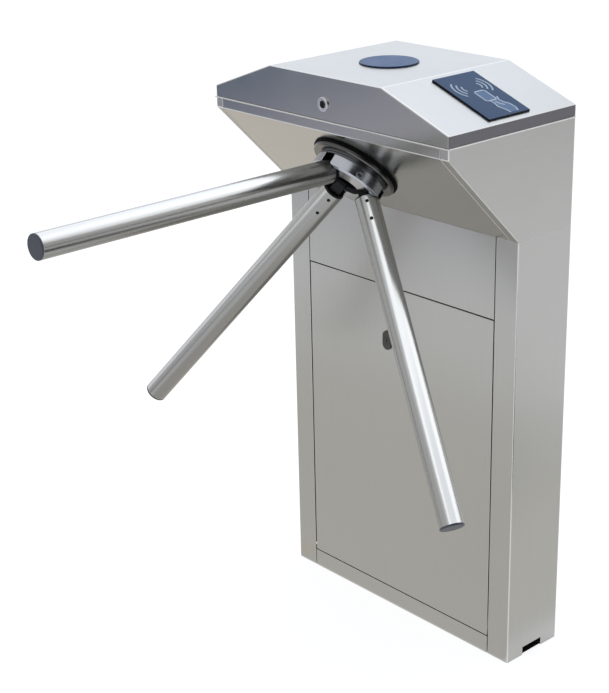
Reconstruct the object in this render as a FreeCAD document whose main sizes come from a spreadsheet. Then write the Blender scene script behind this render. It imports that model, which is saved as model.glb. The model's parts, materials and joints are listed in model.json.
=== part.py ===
import FreeCAD, Part
import os
import re
import Sketcher

# Drop arm tripod turnstile: a stainless pedestal with an overhanging head, a hinged lid,
# and a three-arm tripod that turns on a shaft square to the sloping underside of the head.
# Frame: +Z up, X along the cabinet, the tripod on the -Y side, origin on the floor under
# the middle of the pedestal.  Millimetres and degrees.

doc = FreeCAD.newDocument("tripod_turnstile")
sheet = doc.addObject("Spreadsheet::Sheet", "dims")

DIMENSIONS = (
    ("length", 520, "cabinet length along X"),
    ("pedestal_depth", 124, "pedestal depth along Y"),
    ("pedestal_height", 738, "floor to underside of head"),
    ("overhang", 156, "head in front of the pedestal"),
    ("slope", 45, "underside of the head from level"),
    ("strip_height", 18, "upright strip over the slope"),
    ("lip_height", 18, "upright lip at the lid ends"),
    ("lid_rise", 50, "lid top over its lip"),
    ("lid_angle", 20.3, "lid end slopes from level"),
    ("wall", 1.5, "sheet thickness"),
    ("seam", 0.5, "gap between neighbouring sheets"),
    ("post_width", 44.5, "post flange width"),
    ("cheek_return", 16, "folded edge of a head cheek"),
    ("rail_height", 32, "rail under the door"),
    ("door_height", 570, "door opening height"),
    ("door_gap", 1, "play at the door sides"),
    ("door_fold", 15, "folded edge of the door"),
    ("door_hem", 2, "rolled lower edge that the door tilts on"),
    ("notch_width", 47, "cable notch in a post"),
    ("notch_height", 15, "cable notch height"),
    ("duct_reach", 36, "base cut-out behind a cable notch"),
    ("base_thickness", 12, "base plate thickness"),
    ("anchor_pitch_x", 420, "anchor holes along X"),
    ("anchor_pitch_y", 76, "anchor holes along Y"),
    ("anchor_radius", 7, "anchor hole for M12"),
    ("gland_inset", 110, "cable gland from the right end"),
    ("gland_radius", 15, "gland hole in the base"),
    ("gland_bore", 10, "cable way in the gland"),
    ("gland_edge", 4, "gland flange past its hole"),
    ("gland_height", 10, "gland over the base plate"),
    ("rim_width", 12, "flat rim under the lid"),
    ("rim_thickness", 2.2, "rim plate"),
    ("rim_inset", 0.6, "rim behind the outer faces"),
    ("lid_gap", 0.3, "lid over its rim"),
    ("leaf_thickness", 1.5, "hinge leaf plate"),
    ("leaf_length", 40, "hinge leaf along X"),
    ("leaf_height", 22, "hinge leaf upright"),
    ("barrel_length", 16, "middle barrel of a lid hinge"),
    ("barrel_radius", 3.5, "lid hinge barrel"),
    ("lid_pin_radius", 1.5, "lid hinge pin"),
    ("lid_hinge_pitch", 300, "distance between lid hinges"),
    ("hub_reach", 127.5, "hub centre up the slope"),
    ("hub_hole", 30, "shaft opening in the fascia"),
    ("seal_radius", 74.5, "black ring on the slope"),
    ("seal_bore", 40, "inside of the black ring"),
    ("seal_height", 3, "black ring height"),
    ("run_gap", 0.4, "running gap"),
    ("flange_radius", 72, "hub flange"),
    ("flange_thickness", 6.6, "hub flange thickness"),
    ("drum_radius", 60, "hub drum"),
    ("drum_height", 26, "hub drum in front of its flange"),
    ("drum_chamfer", 3, "front edge of the drum"),
    ("cavity_flare", 6, "flared edge of the drum's hollow"),
    ("neck_depth", 4, "waist of the drum by the flange"),
    ("neck_height", 3, "waist height"),
    ("cone", 45, "arm from the shaft axis"),
    ("apex_inset", 3.7, "arm axes meet behind the slope"),
    ("hinge_reach", 44, "arm pivot from the apex"),
    ("pin_radius", 4, "arm hinge pin"),
    ("pin_length", 60, "arm hinge pin length"),
    ("knuckle_radius", 11, "round end of an arm knuckle"),
    ("knuckle_width", 18, "knuckle in its slot"),
    ("slot_clear", 0.5, "knuckle play in its slot"),
    ("heel_length", 13, "knuckle heel from the pivot"),
    ("heel_thickness", 4, "knuckle heel"),
    ("buffer_thickness", 3, "black buffer behind the tube"),
    ("buffer_inset", 1, "buffer inside the tube outline"),
    ("buffer_gap", 0.3, "buffer off the mouth of the drum"),
    ("mouth_gap", 0.6, "tube play in the mouth of the drum"),
    ("arm_sag", 1.1, "latch play of the lower arms"),
    ("tube_start", 62, "arm tube root from the apex"),
    ("arm_reach", 595, "arm tip from the apex"),
    ("tube_radius", 19, "arm tube"),
    ("tube_wall", 1.2, "arm tube wall"),
    ("spigot_length", 46, "knuckle inside the tube"),
    ("cap_thickness", 3, "arm end cap"),
    ("plug_length", 12, "cap inside the tube"),
    ("push_gap", 0.2, "push fit gap"),
    ("fit", 0.05, "running fit, radial"),
    ("shaft_radius", 12.5, "main shaft"),
    ("rod_radius", 4, "drop rod"),
    ("rod_tail", 83, "drop rod behind the rear plate"),
    ("rod_stroke", 5.5, "drop rod travel"),
    ("disc_radius", 20, "latch disc of the drop rod"),
    ("disc_thickness", 4, "latch disc"),
    ("plate_width", 160, "mechanism plates along X"),
    ("plate_height", 150, "mechanism plates up the slope"),
    ("plate_thickness", 8, "mechanism plates"),
    ("pillar_length", 52.5, "between the plates"),
    ("pillar_radius", 5, "chassis pillar"),
    ("pillar_edge", 7, "pillar from the plate edges"),
    ("bearing_radius", 21, "ball bearing outside"),
    ("notches", 6, "notches of each wheel"),
    ("lock_radius", 40, "lock wheel"),
    ("lock_notch", 12, "lock notch width"),
    ("notch_depth", 8, "lock notch depth"),
    ("lock_thickness", 8, "lock wheel and pawls"),
    ("lock_at", 4, "lock wheel before the rear plate"),
    ("index_radius", 36, "index wheel"),
    ("index_notch", 6, "index notch depth"),
    ("index_thickness", 10, "index wheel thickness"),
    ("index_at", 14, "index wheel behind the front plate"),
    ("pawl_x", 45, "pawl pivot across the axis"),
    ("pawl_gap", 7, "pawl over the lock wheel"),
    ("pawl_height", 10, "pawl bar"),
    ("pawl_tail", 21, "pawl behind its pivot"),
    ("pawl_nose", 10, "pawl past the wheel middle"),
    ("tooth_width", 9, "pawl tooth"),
    ("tooth_shift", 1.7, "tooth swing to the notch middle"),
    ("tooth_gap", 0.8, "open pawl over the wheel"),
    ("pivot_radius", 4, "pawl pivot"),
    ("pivot_length", 16, "pawl pivot length"),
    ("coil_width", 20, "lock solenoid"),
    ("coil_depth", 18, "lock solenoid off the plate"),
    ("coil_length", 28, "lock solenoid length"),
    ("coil_gap", 5, "lock solenoid to pawl"),
    ("coil_offset", 17, "plunger from the pawl pivot"),
    ("plunger_radius", 4, "solenoid plunger"),
    ("plunger_length", 17, "solenoid plunger length"),
    ("nose_radius", 2, "plunger tip"),
    ("leaf_spring", 1, "detent leaf thickness"),
    ("leaf_reach", 50, "detent leaf below the notch"),
    ("foot_width", 10, "detent foot"),
    ("bracket_width", 108, "rear bracket"),
    ("bracket_height", 50, "rear bracket up the slope"),
    ("bracket_plate", 4, "rear bracket plate"),
    ("bracket_depth", 45, "rear bracket behind the plate"),
    ("damper_radius", 32, "rotary damper"),
    ("damper_length", 20, "rotary damper"),
    ("drop_coil_radius", 20, "drop solenoid"),
    ("drop_coil_length", 45, "drop solenoid"),
    ("lens_radius", 47.5, "indicator disc"),
    ("lens_height", 2.5, "indicator disc over the lid"),
    ("lens_hole", 40, "lid hole under the disc"),
    ("reader_length", 122, "reader plate along the lid slope"),
    ("reader_width", 90, "reader plate along Y"),
    ("reader_height", 3, "reader plate over the lid"),
    ("reader_hole", 80, "lid hole under the reader"),
    ("reader_boss", 9, "reader body under the lid"),
    ("lid_lock_z", 25, "lid lock over the seam"),
    ("lock_head", 11, "lock rosette"),
    ("lock_head_height", 3, "lock rosette"),
    ("lock_body", 9, "lock barrel"),
    ("lock_plug", 6, "lock plug"),
    ("lock_length", 22, "lock barrel behind the sheet"),
    ("cam_length", 36, "lid lock cam"),
    ("cam_width", 10, "lock cam"),
    ("cam_thickness", 2.5, "lock cam"),
    ("cam_foot", 6, "lid cam foot height"),
    ("cam_hook", 16, "lid cam foot under the rim"),
    ("rim_notch_at", 9, "cam way in the rim"),
    ("rim_notch", 20, "cam way in the rim"),
    ("door_lock_x", -22, "door lock across"),
    ("door_lock_z", 505, "door lock height"),
    ("plate_w", 20, "door lock plate width"),
    ("plate_h", 34, "door lock plate height"),
    ("door_cam", 30, "door lock cam"),
    ("keeper_height", 27, "door keeper bar"),
    ("keeper_drop", 12, "keeper under the lock axis"),
    ("keeper_gap", 1, "door cam behind the keeper"),
    ("supply_width", 120, "power supply"),
    ("supply_depth", 56, "power supply"),
    ("supply_height", 90, "power supply"),
    ("supply_inset", 60, "power supply from the left end"),
    ("control_width", 200, "control box"),
    ("control_depth", 35, "control box"),
    ("control_height", 140, "control box"),
    ("control_z", 330, "control box over the floor"),
)

for row, (alias, value, meaning) in enumerate(DIMENSIONS, 1):
    sheet.set(f"A{row}", meaning)
    sheet.set(f"B{row}", str(value))
    sheet.setAlias(f"B{row}", alias)
doc.recompute()

ALIAS = re.compile(r"\b(" + "|".join(alias for alias, _, _ in DIMENSIONS) + r")\b")

# Places that several pieces share, written in the driving dimensions.
END = "(length / 2)"
FRONT = "(-pedestal_depth / 2)"
BACK = "(pedestal_depth / 2)"
HEAD_FRONT = "(-pedestal_depth / 2 - overhang)"
HEAD_DEPTH = "(pedestal_depth + overhang)"
HEAD_MIDDLE = "(-overhang / 2)"
EAVE_Z = "(pedestal_height + overhang * tan(slope))"
SEAM_Z = f"({EAVE_Z} + strip_height)"
RIM_Z = f"({SEAM_Z} - rim_thickness)"
LID_Z = f"({SEAM_Z} + lid_gap)"
LIP_Z = f"({SEAM_Z} + lip_height)"
TOP_Z = f"({LIP_Z} + lid_rise)"
LID_RUN = "(lid_rise / tan(lid_angle))"
DOOR_TOP = "(rail_height + door_height)"
PANEL_HALF = f"({END} - post_width - seam)"
BAR_HALF = f"({END} - wall - seam)"
GLAND_X = f"({END} - gland_inset)"

# Along the shaft axis, from the slope outwards; the mechanism lies on the negative side.
FLANGE_Z = "(seal_height + run_gap)"
DRUM_Z = f"({FLANGE_Z} + flange_thickness)"
DRUM_TOP = f"({DRUM_Z} + drum_height)"
HINGE_Z = "(hinge_reach * cos(cone) - apex_inset)"
HINGE_R = "(hinge_reach * sin(cone))"
HEEL_SWEEP = "sqrt(heel_length^2 + (heel_thickness / 2)^2)"
SLOT_FLOOR = f"({HINGE_Z} - {HEEL_SWEEP} - slot_clear)"
DISC_FRONT = f"({HINGE_Z} - heel_thickness / 2 - heel_length * sin(arm_sag) - lid_gap - rod_stroke)"
PLATE_BACK = "(-wall - plate_thickness)"
REAR_FRONT = f"({PLATE_BACK} - pillar_length)"
REAR_BACK = f"({REAR_FRONT} - plate_thickness)"
BRACKET_Z = f"({REAR_BACK} - bracket_depth)"
LOCK_Z = f"({REAR_FRONT} + lock_at)"
INDEX_Z = f"({PLATE_BACK} - index_at - index_thickness)"
PAWL_Y = "(lock_radius + pawl_gap + pawl_height / 2)"
TUBE_BORE = "(tube_radius - tube_wall)"
BUFFER_START = "(tube_start - buffer_thickness)"

parts = []


def bind(text):
    """An expression with every dimension name pointed at its cell."""
    return ALIAS.sub(r"dims.\1", str(text))


def size(item, **sizes):
    """Bind properties of an object to expressions."""
    for name, text in sizes.items():
        item.setExpression(name, bind(text))
    return item


def spot(x=0, y=0, z=0, axis=(0, 0, 1), angle=0):
    """A placement expression: a point and a turn about an axis."""
    turn = f"rotation(vector({axis[0]}; {axis[1]}; {axis[2]}); {angle})"
    return f"placement(vector({x}; {y}; {z}); {turn})"


def node(item, label, place=None):
    """Name a finished sub-part, set it in its place and keep it for the hand-in."""
    item.Label = label
    if place:
        size(item, Placement=place)
    parts.append(item)
    return item


def box(name, dx, dy, dz, x=0, y=0, z=0, axis=(0, 0, 1), angle=0):
    item = doc.addObject("Part::Box", name)
    return size(item, Length=dx, Width=dy, Height=dz, Placement=spot(x, y, z, axis, angle))


def slab(name, dx, y0, y1, z0, z1):
    """A box centred on X between two Y and two Z values."""
    return box(name, dx, f"({y1}) - ({y0})", f"({z1}) - ({z0})", f"-({dx}) / 2", y0, z0)


def bar(name, radius, height, x=0, y=0, z=0, along="z"):
    """A cylinder that starts at a point and runs along an axis."""
    turns = {"x": ((0, 1, 0), 90), "y": ((1, 0, 0), -90), "z": ((0, 0, 1), 0)}
    axis, angle = turns[along]
    item = doc.addObject("Part::Cylinder", name)
    return size(item, Radius=radius, Height=height, Placement=spot(x, y, z, axis, angle))


def join(name, items):
    item = doc.addObject("Part::MultiFuse", name)
    item.Shapes = items
    return item


def group(name, items):
    """Separate solids that share one node."""
    item = doc.addObject("Part::Compound", name)
    item.Links = items
    return item


def cut(name, base, tools):
    item = doc.addObject("Part::Cut", name)
    item.Base = base
    item.Tool = tools[0] if len(tools) == 1 else join(name + "_tools", tools)
    return item


def sketch(owner, plane, lift="0"):
    """A sketch on one of the body's own planes, lifted along the plane's normal."""
    item = owner.newObject("Sketcher::SketchObject", owner.Name + "_sketch")
    support = next(f for f in owner.Origin.OriginFeatures if f.Role == plane)
    item.AttachmentSupport = [(support, "")]
    item.MapMode = "FlatFace"
    item.setExpression("AttachmentOffset.Base.z", bind(lift))
    return item


def pin_point(item, geometry, end, x, y):
    """Hold a point of the sketch at two expressions from the sketch origin."""
    for kind, text in (("DistanceX", x), ("DistanceY", y)):
        number = item.addConstraint(Sketcher.Constraint(kind, -1, 1, geometry, end, float(geometry + end)))
        item.setExpression(f"Constraints[{number}]", bind(text))


def outline(item, points):
    """A closed polygon through points given as pairs of expressions."""
    first = item.GeometryCount
    count = len(points)
    for i in range(count):
        start = FreeCAD.Vector(i, i * i, 0)
        stop = FreeCAD.Vector(i + 1, (i + 1) ** 2, 0)
        item.addGeometry(Part.LineSegment(start, stop), False)
    for i in range(count):
        item.addConstraint(Sketcher.Constraint("Coincident", first + i, 2, first + (i + 1) % count, 1))
    for i, (x, y) in enumerate(points):
        pin_point(item, first + i, 1, x, y)


def circle(item, x, y, radius):
    centre = FreeCAD.Vector(0, 0, 0)
    number = item.addGeometry(Part.Circle(centre, FreeCAD.Vector(0, 0, 1), 1.0), False)
    pin_point(item, number, 3, x, y)
    limit = item.addConstraint(Sketcher.Constraint("Radius", number, 1.0))
    item.setExpression(f"Constraints[{limit}]", bind(radius))


def rectangle(item, x0, y0, x1, y1):
    outline(item, [(x0, y0), (x1, y0), (x1, y1), (x0, y1)])


def pad(owner, profile, length):
    item = owner.newObject("PartDesign::Pad", owner.Name + "_pad")
    item.Profile = profile
    return size(item, Length=length)


def pocket(owner, profile, depth, reverse=False):
    """A pocket; it has to take something away."""
    doc.recompute()
    before = owner.Shape.Volume
    item = owner.newObject("PartDesign::Pocket", owner.Name + "_pocket")
    item.Profile = profile
    item.Reversed = reverse
    size(item, Length=depth)
    doc.recompute()
    if owner.Shape.Volume >= before:
        raise ValueError(f"{item.Name} cuts nothing")
    return item


def around(owner, feature, profile, count):
    """Repeat a feature round the sketch's normal axis."""
    item = owner.newObject("PartDesign::PolarPattern", owner.Name + "_pattern")
    item.Originals = [feature]
    item.Axis = (profile, ["N_Axis"])
    item.Angle = 360
    size(item, Occurrences=count)
    owner.Tip = item


def new_body(name):
    return doc.addObject("PartDesign::Body", name)


def turned(name, points):
    """A body turned about its Z axis from (radius, height) points."""
    owner = new_body(name)
    profile = sketch(owner, "XZ_Plane")
    outline(profile, points)
    item = owner.newObject("PartDesign::Revolution", name + "_turn")
    item.Profile = profile
    item.ReferenceAxis = (profile, ["V_Axis"])
    item.Angle = 360
    return owner


def ring(name, bore, radius, z0, z1):
    return turned(name, [(bore, z0), (radius, z0), (radius, z1), (bore, z1)])


# Where the tilted pieces sit: the hub on the slope, each arm on the hub.
HUB_Y = "(-pedestal_depth / 2 - hub_reach * cos(slope))"
HUB_Z = "(pedestal_height + hub_reach * sin(slope))"
HUB = spot(0, HUB_Y, HUB_Z, (1, 0, 0), "180 - slope")


def arm_place(turn, sag):
    """Arm frame: Z along the tube from the apex, Y away from the shaft axis."""
    steps = (
        spot(0, 0, "-apex_inset", (0, 0, 1), turn),
        spot(0, 0, 0, (1, 0, 0), "-cone"),
        spot(0, 0, "hinge_reach", (1, 0, 0), sag),
        spot(0, 0, "-hinge_reach"),
    )
    return " * ".join((HUB,) + steps)


def base_plate():
    """The floor plate with its anchor holes, cut out behind the cable notches."""
    owner = new_body("base_body")
    profile = sketch(owner, "XY_Plane")
    deep = f"({BACK} - wall - seam)"
    side = "(notch_width / 2)"
    inner = f"({BAR_HALF} - duct_reach)"
    outline(profile, [(f"-{BAR_HALF}", f"-{deep}"), (BAR_HALF, f"-{deep}"), (BAR_HALF, f"-{side}"),
                      (inner, f"-{side}"), (inner, side), (BAR_HALF, side), (BAR_HALF, deep),
                      (f"-{BAR_HALF}", deep), (f"-{BAR_HALF}", side), (f"-{inner}", side),
                      (f"-{inner}", f"-{side}"), (f"-{BAR_HALF}", f"-{side}")])
    for x in ("-anchor_pitch_x / 2", "anchor_pitch_x / 2"):
        for y in ("-anchor_pitch_y / 2", "anchor_pitch_y / 2"):
            circle(profile, x, y, "anchor_radius")
    circle(profile, GLAND_X, "0", "gland_radius")
    pad(owner, profile, "base_thickness")
    node(owner, "base_plate")


def cable_gland():
    """A flanged bush through the base plate; the flange lies on the plate."""
    neck = "gland_radius - push_gap"
    edge = "gland_radius + gland_edge"
    top = "base_thickness + gland_height"
    points = [("gland_bore", "seam"), (neck, "seam"), (neck, "base_thickness"), (edge, "base_thickness"),
              (edge, top), ("gland_bore", top)]
    node(turned("gland_body", points), "cable_gland", spot(GLAND_X))


def post(label, side):
    """A folded channel that makes one end of the pedestal, notched at the floor for cables."""
    owner = new_body(label + "_channel")
    profile = sketch(owner, "XY_Plane")
    face = f"{side} * {END}"
    inner = f"{side} * ({END} - wall)"
    edge = f"{side} * ({END} - post_width)"
    outline(profile, [(face, FRONT), (face, BACK), (edge, BACK), (edge, f"{BACK} - wall"),
                      (inner, f"{BACK} - wall"), (inner, f"{FRONT} + wall"), (edge, f"{FRONT} + wall"),
                      (edge, FRONT)])
    pad(owner, profile, "pedestal_height")
    notch = box(label + "_notch", "4 * wall", "notch_width", "notch_height", f"{face} - 2 * wall",
                "-notch_width / 2", 0)
    node(cut(label + "_cut", owner, [notch]), label)


def pedestal_panels():
    """Sheets between the posts, and the keeper bar behind the door."""
    wide = f"2 * {PANEL_HALF}"
    skin = f"{FRONT} + wall"
    fold = f"{FRONT} + wall + door_fold"
    upper = f"{DOOR_TOP} + seam"
    node(join("upper_sheet", [
        slab("upper_face", wide, FRONT, skin, upper, "pedestal_height"),
        slab("upper_fold", wide, skin, fold, upper, f"{upper} + wall"),
    ]), "upper_panel")
    node(join("rail_sheet", [
        slab("rail_face", wide, FRONT, skin, 0, "rail_height"),
        slab("rail_fold", wide, skin, fold, "rail_height - wall", "rail_height"),
    ]), "bottom_rail")
    node(slab("back_sheet", wide, f"{BACK} - wall", BACK, 0, "pedestal_height"), "back_panel")
    top = "door_lock_z - keeper_drop"
    web = f"{CAM_Y} - keeper_gap"
    node(join("keeper_bar", [
        slab("keeper_web", f"2 * {BAR_HALF}", f"{web} - wall", web, f"{top} - keeper_height", top),
        slab("keeper_fold", f"2 * {BAR_HALF}", web, f"{web} + door_fold", f"{top} - keeper_height",
             f"{top} - keeper_height + wall"),
    ]), "door_keeper")


# Slope and strip as one folded sheet, seen from the end.
FOLD_CORNER = f"{EAVE_Z} + wall * tan((90 - slope) / 2)"
FOLD_SHEET = [
    (FRONT, "pedestal_height"),
    (HEAD_FRONT, EAVE_Z),
    (HEAD_FRONT, RIM_Z),
    (f"{HEAD_FRONT} + wall", RIM_Z),
    (f"{HEAD_FRONT} + wall", FOLD_CORNER),
    (f"{FRONT} + wall * sin(slope)", "pedestal_height + wall * cos(slope)"),
]


def cheek(label, side):
    """An end plate of the head with its edges folded in along the slope, the strip and the back."""
    owner = new_body(label + "_sheet")
    plate = sketch(owner, "YZ_Plane", f"{END} - wall" if side > 0 else f"-{END}")
    outline(plate, [(BACK, "pedestal_height"), (FRONT, "pedestal_height"), (HEAD_FRONT, EAVE_Z),
                    (HEAD_FRONT, RIM_Z), (BACK, RIM_Z)])
    pad(owner, plate, "wall")
    start = f"{END} - cheek_return" if side > 0 else f"-{END}"
    fold = sketch(owner, "YZ_Plane", start)
    outline(fold, FOLD_SHEET)
    pad(owner, fold, "cheek_return")
    rear = sketch(owner, "YZ_Plane", start)
    rectangle(rear, f"{BACK} - wall", "pedestal_height", BACK, RIM_Z)
    pad(owner, rear, "cheek_return")
    node(owner, label)


def head_sheets():
    """The folded fascia with its shaft opening, the back sheet and the flat rim under the lid."""
    half = f"({END} - cheek_return - seam)"
    owner = new_body("fascia_sheet")
    profile = sketch(owner, "YZ_Plane", f"-{half}")
    outline(profile, FOLD_SHEET)
    pad(owner, profile, f"2 * {half}")
    hole = bar("fascia_hole", "hub_hole", "4 * wall")
    size(hole, Placement=f"{HUB} * {spot(0, 0, '-2 * wall')}")
    node(cut("fascia_cut", owner, [hole]), "head_fascia")
    rear = slab("head_back_sheet", f"2 * {half}", f"{BACK} - wall", BACK, "pedestal_height", RIM_Z)
    node(rear, "head_back")
    plate = slab("rim_plate", "length - 2 * rim_inset", f"{HEAD_FRONT} + rim_inset", f"{BACK} - rim_inset",
                 RIM_Z, SEAM_Z)
    edge = "rim_inset + rim_width"
    mouth = slab("rim_mouth", f"length - 2 * ({edge})", f"{HEAD_FRONT} + {edge}", f"{BACK} - ({edge})",
                 f"{RIM_Z} - wall", f"{SEAM_Z} + wall")
    notch = box("rim_notch_box", "rim_notch", "2 * rim_width", "rim_thickness + 2 * wall", "rim_notch_at",
                f"{HEAD_FRONT} + wall + rim_inset", f"{RIM_Z} - wall")
    node(cut("rim_cut", plate, [mouth, notch]), "lid_rim")


HINGE_PIN_Y = f"({BACK} + barrel_radius + lid_gap)"
HINGE_PIN_Z = f"({SEAM_Z} + lid_gap / 2)"


def hinge_leaf(name, x, moving):
    """One leaf of a lid hinge: plate, tabs and barrels round the pin."""
    clear = "(barrel_radius + 2 * lid_gap)"
    if moving:
        plate_z = f"{HINGE_PIN_Z} + {clear}"
        tab_z = HINGE_PIN_Z
        side = "(leaf_length - barrel_length) / 2 - lid_gap"
        starts = (f"{x} - leaf_length / 2", f"{x} + barrel_length / 2 + lid_gap")
    else:
        plate_z = f"{HINGE_PIN_Z} - {clear} - leaf_height"
        tab_z = f"{HINGE_PIN_Z} - {clear}"
        side = "barrel_length"
        starts = (f"{x} - barrel_length / 2",)
    solids = [box(name + "_plate", "leaf_length", "leaf_thickness", "leaf_height", f"{x} - leaf_length / 2",
                  BACK, plate_z)]
    for i, start in enumerate(starts):
        solids.append(box(f"{name}_tab{i}", side, "leaf_thickness", clear, start, BACK, tab_z))
        solids.append(bar(f"{name}_barrel{i}", "barrel_radius", side, start, HINGE_PIN_Y, HINGE_PIN_Z, "x"))
    hole = bar(name + "_hole", "lid_pin_radius + fit", "2 * leaf_length", f"{x} - leaf_length", HINGE_PIN_Y,
               HINGE_PIN_Z, "x")
    return cut(name, join(name + "_solid", solids), [hole])


def lid_hinges():
    spots = ("-lid_hinge_pitch / 2", "lid_hinge_pitch / 2")
    fixed = [hinge_leaf(f"fixed_leaf{i}", x, False) for i, x in enumerate(spots)]
    moving = [hinge_leaf(f"moving_leaf{i}", x, True) for i, x in enumerate(spots)]
    pins = [bar(f"lid_pin{i}", "lid_pin_radius", "leaf_length", f"{x} - leaf_length / 2", HINGE_PIN_Y,
                HINGE_PIN_Z, "x") for i, x in enumerate(spots)]
    node(group("fixed_leaves", fixed), "lid_hinge_leaves")
    node(group("moving_leaves", moving), "lid_hinge_flaps")
    node(group("lid_pins", pins), "lid_hinge_pins")


# The reader's frame lies on the right lid slope: X down the slope, Z out of it.
READER = spot(f"{END} - {LID_RUN} / 2", HEAD_MIDDLE, f"{LIP_Z} + lid_rise / 2", (0, 1, 0), "lid_angle")
LID_LOCK_Z = f"({SEAM_Z} + lid_lock_z)"


def lid_shell():
    """A folded cap, open below, with holes under the indicator, the reader and the lock."""
    owner = new_body("lid_cap")
    outer = sketch(owner, "XZ_Plane", f"-{BACK}")
    ridge = f"({END} - {LID_RUN})"
    outline(outer, [(f"-{END}", LID_Z), (END, LID_Z), (END, LIP_Z), (ridge, TOP_Z), (f"-{ridge}", TOP_Z),
                    (f"-{END}", LIP_Z)])
    pad(owner, outer, HEAD_DEPTH)
    inner = sketch(owner, "XZ_Plane", f"-({BACK} - wall)")
    side = f"({END} - wall)"
    shoulder = f"({LIP_Z} - wall * tan((90 - lid_angle) / 2))"
    ceiling = f"({TOP_Z} - wall)"
    brow = f"({ridge} - wall * tan(lid_angle / 2))"
    floor = f"({LID_Z} - wall)"
    outline(inner, [(f"-{side}", floor), (side, floor), (side, shoulder), (brow, ceiling),
                    (f"-{brow}", ceiling), (f"-{side}", shoulder)])
    pocket(owner, inner, f"{HEAD_DEPTH} - 2 * wall", True)
    lens = bar("lens_way", "lens_hole", "4 * wall", 0, HEAD_MIDDLE, f"{TOP_Z} - 2 * wall")
    reader = box("reader_way", "reader_hole", "reader_hole / 2", "4 * wall")
    size(reader, Placement=f"{READER} * {spot('-reader_hole / 2', '-reader_hole / 4', '-2 * wall')}")
    lock = bar("lid_lock_way", "lock_body + push_gap", "4 * wall", 0, f"{HEAD_FRONT} - 2 * wall",
               LID_LOCK_Z, "y")
    node(cut("lid_cut", owner, [lens, reader, lock]), "lid_shell")


def lid_fittings():
    """The indicator disc and the reader plate, each with a boss in its hole."""
    edge = "lens_radius - lens_height / 2"
    boss = "lens_hole - push_gap"
    points = [("0", "-2 * wall"), (boss, "-2 * wall"), (boss, "0"), ("lens_radius", "0"),
              ("lens_radius", "lens_height / 2"), (edge, "lens_height"), ("0", "lens_height")]
    node(turned("lens_body", points), "indicator_lens", spot(0, HEAD_MIDDLE, TOP_Z))
    plate = box("reader_plate", "reader_length", "reader_width", "reader_height", "-reader_length / 2",
                "-reader_width / 2", 0)
    back = box("reader_back", "reader_hole - 2 * push_gap", "reader_hole / 2 - 2 * push_gap", "reader_boss",
               "-reader_hole / 2 + push_gap", "-reader_hole / 4 + push_gap", "-reader_boss")
    node(join("reader_solid", [plate, back]), "reader_window", READER)


def cylinder_lock(name, rosette):
    """A key lock's body along +Y: rosette in front, barrel behind the sheet."""
    barrel = bar(name + "_barrel", "lock_body", "lock_length", 0, 0, 0, "y")
    bore = bar(name + "_bore", "lock_plug + fit", "2 * lock_length", 0, "-lock_length / 2", 0, "y")
    return cut(name, join(name + "_solid", [rosette, barrel]), [bore])


def lock_plug(name, foot):
    """A key plug with its cam, turned to the open side (+X)."""
    plug = bar(name + "_plug", "lock_plug", "lock_head_height + lock_length", 0, "-lock_head_height", 0, "y")
    return join(name, [plug] + foot)


def lid_lock():
    place = spot(0, HEAD_FRONT, LID_LOCK_Z)
    rosette = bar("lid_rosette", "lock_head", "lock_head_height", 0, "-lock_head_height", 0, "y")
    node(cylinder_lock("lid_lock_solid", rosette), "lid_lock_body", place)
    arm = box("lid_cam_arm", "cam_length", "cam_thickness", "cam_width", 0, "lock_length", "-cam_width / 2")
    hook = box("lid_cam_hook", "cam_foot", "cam_hook", "cam_width", "cam_length - cam_foot",
               "lock_length - cam_hook", "-cam_width / 2")
    node(lock_plug("lid_plug_solid", [arm, hook]), "lid_lock_plug", place)


CAM_Y = f"({FRONT} + lock_length)"


def door():
    """A pan with folded edges that tilts on its rolled lower edge, with a key lock."""
    half = f"({PANEL_HALF} + seam - door_gap)"
    low = "(rail_height + seam)"
    pan = slab("door_block", f"2 * {half}", FRONT, f"{FRONT} + door_fold", low, DOOR_TOP)
    hollow = slab("door_hollow", f"2 * ({half} - wall)", f"{FRONT} + wall", f"{FRONT} + 2 * door_fold",
                  f"{low} + wall", f"{DOOR_TOP} - wall")
    way = bar("door_lock_way", "lock_body + push_gap", "4 * wall", "door_lock_x", f"{FRONT} - 2 * wall",
              "door_lock_z", "y")
    corner = slab("door_corner", f"2 * {half} + wall", f"{FRONT} - door_hem", f"{FRONT} + door_hem",
                  f"{low} - door_hem", f"{low} + door_hem")
    hem = bar("door_roll", "door_hem", f"2 * {half}", f"-{half}", f"{FRONT} + door_hem", f"{low} + door_hem",
              "x")
    node(join("door_solid", [cut("door_cut", pan, [hollow, way, corner]), hem]), "door_panel")
    place = spot("door_lock_x", FRONT, "door_lock_z")
    reach = "(plate_h - plate_w) / 2"
    plate = box("door_rosette", "plate_w", "lock_head_height", f"2 * {reach}", "-plate_w / 2",
                "-lock_head_height", f"-{reach}")
    ends = [bar(f"door_rosette_end{i}", "plate_w / 2", "lock_head_height", 0, "-lock_head_height", z, "y")
            for i, z in enumerate((reach, f"-{reach}"))]
    oblong = join("door_oblong", [plate] + ends)
    node(cylinder_lock("door_lock_solid", oblong), "door_lock_body", place)
    arm = box("door_cam_arm", "door_cam", "cam_thickness", "cam_width", 0, "lock_length", "-cam_width / 2")
    node(lock_plug("door_plug_solid", [arm]), "door_lock_plug", place)


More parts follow.
